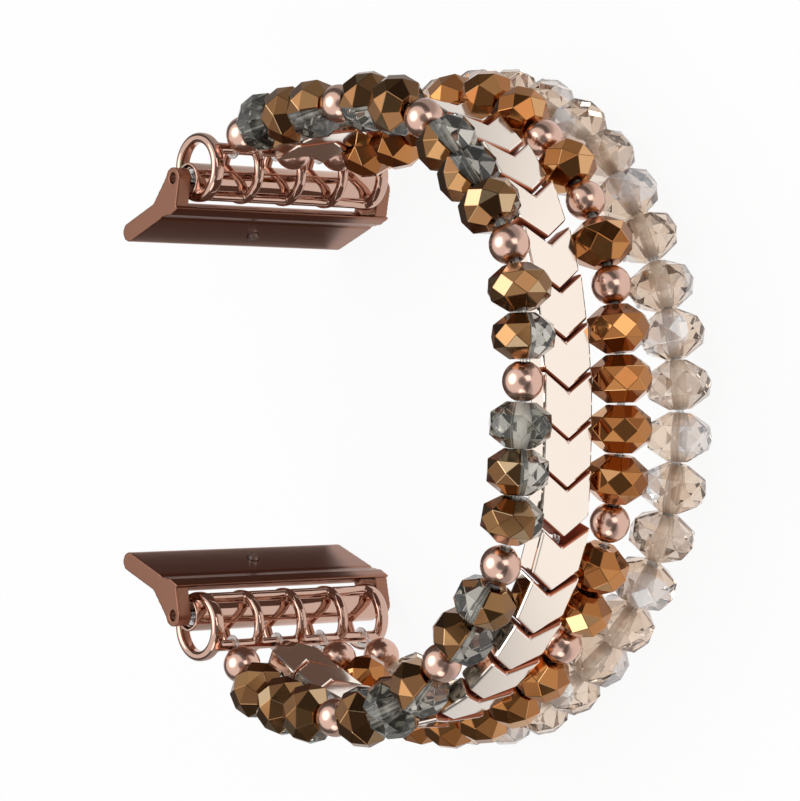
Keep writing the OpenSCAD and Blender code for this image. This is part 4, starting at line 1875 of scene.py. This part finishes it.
@dataclass
class SpringBars:
    """The spring bars' barrels, tips and springs, and the sprung catches of the feet."""

    finishes: Finishes
    bar_wire: float = 0.12 * MM
    bar_curls: float = 12.0
    catch_wire: float = 0.08 * MM
    catch_curls: float = 2.5
    sides: int = 10

    def build(self) -> None:
        """Dresses the steel pieces that keep their solids, and winds the springs."""
        tree = spring_tree()
        for end in End:
            for node in (
                f"spring_bar_barrel_{end.word}",
                f"upper_tip_{end.word}",
                f"lower_tip_{end.word}",
                f"catch_{end.word}",
            ):
                self._dress(node, self.finishes.steel)
            self._dress(f"catch_plug_{end.word}", self.finishes.adapter)
            node = f"spring_bar_spring_{end.word}"
            for coil in self._bar_coils(node, end):
                self._wind(tree, coil, node, f"connector_{end.word}")
            node = f"catch_spring_{end.word}"
            self._wind(tree, self._catch_coil(node, end), node, f"adapter_{end.word}")

    @staticmethod
    def _dress(node: str, finish: bpy.types.Material) -> None:
        """Gives a carried-over solid its finish."""
        obj = frame["nodes"][node]
        obj.data.materials.clear()
        obj.data.materials.append(finish)

    def _bar_coils(self, node: str, end: End) -> list[Coil]:
        """The two halves of a spring bar's spring, which its tips press towards its middle.

        Args:
            node: The spring's solid.
            end: Its end of the band.

        Returns:
            The upper and the lower half.
        """
        low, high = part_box(node)
        return [
            Coil(
                name=f"{node}_{half}",
                fixed=(low + high) / 2,
                way=Vector((0, 0, sign)),
                height=(high.z - low.z) / 2,
                radius=(high.x - low.x) / 2 - self.bar_wire,
                wire_radius=self.bar_wire,
                curls=self.bar_curls / 2,
                joint=f"{half}_tip_press_{end.word}",
            )
            for half, sign in (("upper", 1), ("lower", -1))
        ]

    def _catch_coil(self, node: str, end: End) -> Coil:
        """The spring of a catch, which stands on the plug and is pressed towards it.

        Args:
            node: The spring's solid.
            end: Its end of the band.

        Returns:
            The spring.
        """
        joint = f"catch_press_{end.word}"
        press = Vector(self._joint(joint)["axis"])
        low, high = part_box(node)
        middle = (low + high) / 2
        spread = [v.co - middle for v in frame["nodes"][node].data.vertices]
        half = max(s.dot(press) for s in spread)
        return Coil(
            name=f"{node}_wound",
            fixed=middle + press * half,
            way=-press,
            height=2 * half,
            radius=max((s - press * s.dot(press)).length for s in spread) - self.catch_wire,
            wire_radius=self.catch_wire,
            curls=self.catch_curls,
            joint=joint,
        )

    @staticmethod
    def _joint(name: str) -> dict:
        """A joint of the record."""
        return next(j for j in frame["joints"] if j["name"] == name)

    def _wind(self, tree: GeometryTree, coil: Coil, node: str, body: str) -> None:
        """Winds a spring in the place of its solid.

        Args:
            tree: The tree that winds it.
            coil: Its sizes.
            node: The solid that it replaces.
            body: The body that it stands on.
        """
        spring = tree.apply(
            new_object("start", bpy.data.meshes.new("start")),
            coil.name,
            {
                "Radius": coil.wire_radius,
                "Sides": self.sides,
                "Finish": self.finishes.steel,
                "Curls": coil.curls,
                "Coil Radius": coil.radius,
                "Height": coil.height - 2 * coil.wire_radius,
            },
        )
        turn = Vector((0, 0, 1)).rotation_difference(coil.way)
        start = coil.fixed + coil.way * coil.wire_radius
        spring.data.transform(Matrix.Translation(start) @ turn.to_matrix().to_4x4())
        shade(spring.data, lambda p: False)
        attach(spring, body)
        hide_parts(node)
        give_slot(spring, "spring_steel")
        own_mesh(spring)


# Studio


@dataclass(frozen=True)
class Softbox:
    """One soft lamp: where it stands, its size and its power."""

    name: str
    place: Corner
    width: float
    height: float
    power: float


@dataclass(frozen=True)
class Flag:
    """A dark box that only reflections show, from one corner to the other, in millimetres."""

    name: str
    low: Corner
    high: Corner


@dataclass(frozen=True)
class Disc:
    """A round card square to the camera's view: its size, its reach from the target, its tone."""

    name: str
    radius: float
    reach: float
    tone: float


@dataclass
class Studio:
    """Camera, floor, world and lamps, none of them part of the object."""

    target: Corner = (7.051 * MM, -0.373 * MM, -8.403 * MM)
    elevation: float = math.radians(40)
    distance: float = 330 * MM
    lens: float = 139.44
    sensor: float = 36.0
    clip: tuple[float, float] = (0.01, 10.0)
    round_sides: int = 96
    disc_sides: int = 64
    floor_radius: float = 3.0
    floor_tone: float = 0.9
    floor_glow: float = 1.03
    glow_share: float = 0.88
    fall_start: float = 28 * MM
    fall_end: float = 62 * MM
    fall_depth: float = 0.6
    world_strength: float = 0.4
    table_radius: float = 0.62
    table_lift: float = 0.02
    table_top: float = 0.34
    table_tone: float = 0.12
    flags: tuple[Flag, ...] = (
        Flag("inner_card", (-12, -15, -14), (-1.5, 15, 13)),
        Flag("top_flag", (1, 9, -14), (12, 13, 12)),
        Flag("bottom_flag", (1, -13, -14), (12, -9, 12)),
    )
    # The flags glow a dark warm brown, a painted reflection of the rose-gold parts near them.
    flag_colour: Colour = (0.12, 0.075, 0.06)
    discs: tuple[Disc, ...] = (
        Disc("camera_card", 0.20, 0.46, 0.20),
        Disc("lens_card", 0.016, 0.40, 0.02),
    )
    boxes: tuple[Softbox, ...] = (
        Softbox("top_box", (-0.10, 0.10, 0.52), 0.48, 0.48, 1.1),
        Softbox("right_box", (0.45, 0.12, 0.10), 0.22, 0.43, 0.45),
        Softbox("low_box", (0.20, -0.45, 0.20), 0.28, 0.28, 0.38),
    )

    @property
    def back(self) -> Vector:
        """The direction from the target to the camera."""
        return Vector((math.cos(self.elevation), 0, math.sin(self.elevation)))

    def build(self) -> None:
        """Sets the whole studio up."""
        self._camera()
        self._floor()
        self._world()
        self._table_card()
        for flag in self.flags:
            self._flag(flag)
        for disc in self.discs:
            self._disc(disc)
        for box in self.boxes:
            self._lamp(box)
        view = bpy.context.scene.view_settings
        view.view_transform = "Standard"

    def _camera(self) -> None:
        """The camera at the photograph's angle, with +Y up."""
        data = bpy.data.cameras.new("camera")
        data.lens, data.sensor_width, data.sensor_fit = self.lens, self.sensor, "HORIZONTAL"
        data.clip_start, data.clip_end = self.clip
        camera = bpy.data.objects.new("camera", data)
        bpy.context.scene.collection.objects.link(camera)
        back = self.back
        camera.location = Vector(self.target) + back * self.distance
        camera.rotation_mode = "QUATERNION"
        right = Vector((0, 1, 0)).cross(back)
        camera.rotation_quaternion = Matrix(
            ((right.x, 0, back.x), (right.y, 1, back.y), (right.z, 0, back.z))
        ).to_quaternion()
        bpy.context.scene.camera = camera

    def _floor(self) -> None:
        """A pale floor that keeps the object's shadow."""
        bm = bmesh.new()
        bmesh.ops.create_circle(
            bm, cap_ends=True, segments=self.round_sides, radius=self.floor_radius
        )
        mesh = mesh_from(bm, "floor")
        floor = new_object("floor", mesh)
        floor.location.z = CAD_BOX[0].z
        material = bpy.data.materials.new("pale_floor")
        material.use_nodes = True
        wire = Wiring(material.node_tree)
        matt = wire.add("ShaderNodeBsdfDiffuse")
        matt.inputs["Color"].default_value = (*(self.floor_tone,) * 3, 1)
        glow = wire.add("ShaderNodeEmission")
        glow.inputs["Color"].default_value = (1, 1, 1, 1)
        wire.join(self._floor_glow(wire), glow.inputs["Strength"])
        mix = wire.add("ShaderNodeMixShader")
        output = wire.add("ShaderNodeOutputMaterial")
        share = wire.math("MULTIPLY", self._seen(wire), self.glow_share)
        wire.join(share, mix.inputs["Fac"])
        wire.join(matt.outputs["BSDF"], mix.inputs[1])
        wire.join(glow.outputs["Emission"], mix.inputs[2])
        wire.join(mix.outputs["Shader"], output.inputs["Surface"])
        mesh.materials.append(material)

    def _floor_glow(self, wire: Wiring) -> bpy.types.NodeSocket:
        """The floor's brightness, which reflections show fading towards both ends of the band."""
        path = wire.add("ShaderNodeLightPath")
        place = wire.add("ShaderNodeNewGeometry")
        parts = wire.add("ShaderNodeSeparateXYZ")
        wire.join(place.outputs["Position"], parts.inputs["Vector"])
        fall = wire.add("ShaderNodeMapRange", interpolation_type="SMOOTHSTEP")
        fall.inputs["From Min"].default_value = self.fall_start
        fall.inputs["From Max"].default_value = self.fall_end
        fall.inputs["To Max"].default_value = self.fall_depth
        wire.join(wire.math("ABSOLUTE", parts.outputs["Y"]), fall.inputs["Value"])
        loss = wire.math("MULTIPLY", fall.outputs["Result"], path.outputs["Is Glossy Ray"])
        return wire.math("SUBTRACT", self.floor_glow, loss)

    @staticmethod
    def _seen(wire: Wiring) -> bpy.types.NodeSocket:
        """1 where the camera sees a surface directly, in a reflection or through glass."""
        path = wire.add("ShaderNodeLightPath")
        seen = wire.math("MAXIMUM", path.outputs["Is Camera Ray"], path.outputs["Is Glossy Ray"])
        return wire.math("MAXIMUM", seen, path.outputs["Is Transmission Ray"])

    def _world(self) -> None:
        """A white room: plain light on the object, white where it is seen."""
        world = bpy.data.worlds.new("studio")
        bpy.context.scene.world = world
        world.use_nodes = True
        wire = Wiring(world.node_tree)
        room = wire.add("ShaderNodeBackground")
        output = wire.add("ShaderNodeOutputWorld")
        room.inputs["Color"].default_value = (1, 1, 1, 1)
        extra = wire.math("MULTIPLY", self._seen(wire), 1 - self.world_strength)
        wire.join(wire.math("ADD", extra, self.world_strength), room.inputs["Strength"])
        wire.join(room.outputs["Background"], output.inputs["Surface"])

    def _table_card(self) -> None:
        """A dark band that stands round the floor, so that metal shows a horizon."""
        bm = bmesh.new()
        lower, upper = (
            corner_ring(bm, self.table_radius, z, self.round_sides)
            for z in (CAD_BOX[0].z + self.table_lift, self.table_top)
        )
        join_rings(bm, upper, lower)
        self._card("table_card", mesh_from(bm, "table_card"), (self.table_tone,) * 3)

    def _flag(self, flag: Flag) -> None:
        """One dark box inside the loop."""
        low, high = MM * Vector(flag.low), MM * Vector(flag.high)
        size = Matrix.Diagonal((*(high - low), 1))
        bm = bmesh.new()
        bmesh.ops.create_cube(bm, size=1, matrix=Matrix.Translation((low + high) / 2) @ size)
        self._card(flag.name, mesh_from(bm, flag.name), self.flag_colour)

    def _disc(self, disc: Disc) -> None:
        """One round card near the camera, which darkens what faces it."""
        turn = self.back.to_track_quat("Z", "Y").to_matrix().to_4x4()
        place = Matrix.Translation(Vector(self.target) + self.back * disc.reach)
        bm = bmesh.new()
        bmesh.ops.create_circle(
            bm, cap_ends=True, segments=self.disc_sides, radius=disc.radius, matrix=place @ turn
        )
        self._card(disc.name, mesh_from(bm, disc.name), (disc.tone,) * 3)

    @staticmethod
    def _card(name: str, mesh: bpy.types.Mesh, colour: Colour) -> None:
        """One card of an even colour that only metal and the outsides of glass show.

        Args:
            name: The card's name.
            mesh: Its faces.
            colour: What it glows with, where 1 is white.
        """
        card = new_object(name, mesh)
        material = bpy.data.materials.new(name)
        material.use_nodes = True
        wire = Wiring(material.node_tree)
        glow = wire.add("ShaderNodeEmission")
        glow.inputs["Color"].default_value = (*colour, 1)
        output = wire.add("ShaderNodeOutputMaterial")
        wire.join(glow.outputs["Emission"], output.inputs["Surface"])
        card.data.materials.append(material)
        card.visible_camera = card.visible_diffuse = card.visible_shadow = False
        card.visible_transmission = False

    def _lamp(self, box: Softbox) -> None:
        """One softbox, pointed at the band."""
        data = bpy.data.lights.new(box.name, "AREA")
        data.shape, data.size, data.size_y = "ELLIPSE", box.width, box.height
        data.energy = box.power
        lamp = bpy.data.objects.new(box.name, data)
        bpy.context.scene.collection.objects.link(lamp)
        lamp.location = box.place
        lamp.rotation_mode = "QUATERNION"
        away = Vector(box.place) - Vector(self.target)
        lamp.rotation_quaternion = away.to_track_quat("Z", "Y")


def main() -> None:
    """Builds every sub-assembly and the studio."""
    logging.basicConfig(level=logging.INFO, format="%(name)s: %(message)s")
    beads, cage, stringing = BeadSizes(), CageSizes(), StringingSizes()
    routes = [
        StrandRoute(i, plan, beads, cage, stringing) for i, plan in enumerate(PLANS)
    ]
    finishes = Finishes()
    Strands(beads, stringing, routes, finishes).build()
    ElasticCords(routes, cage, stringing, finishes).build()
    CastParts(finishes).build()
    SpringBars(finishes).build()
    Studio().build()


if __name__ == "__main__":
    main()
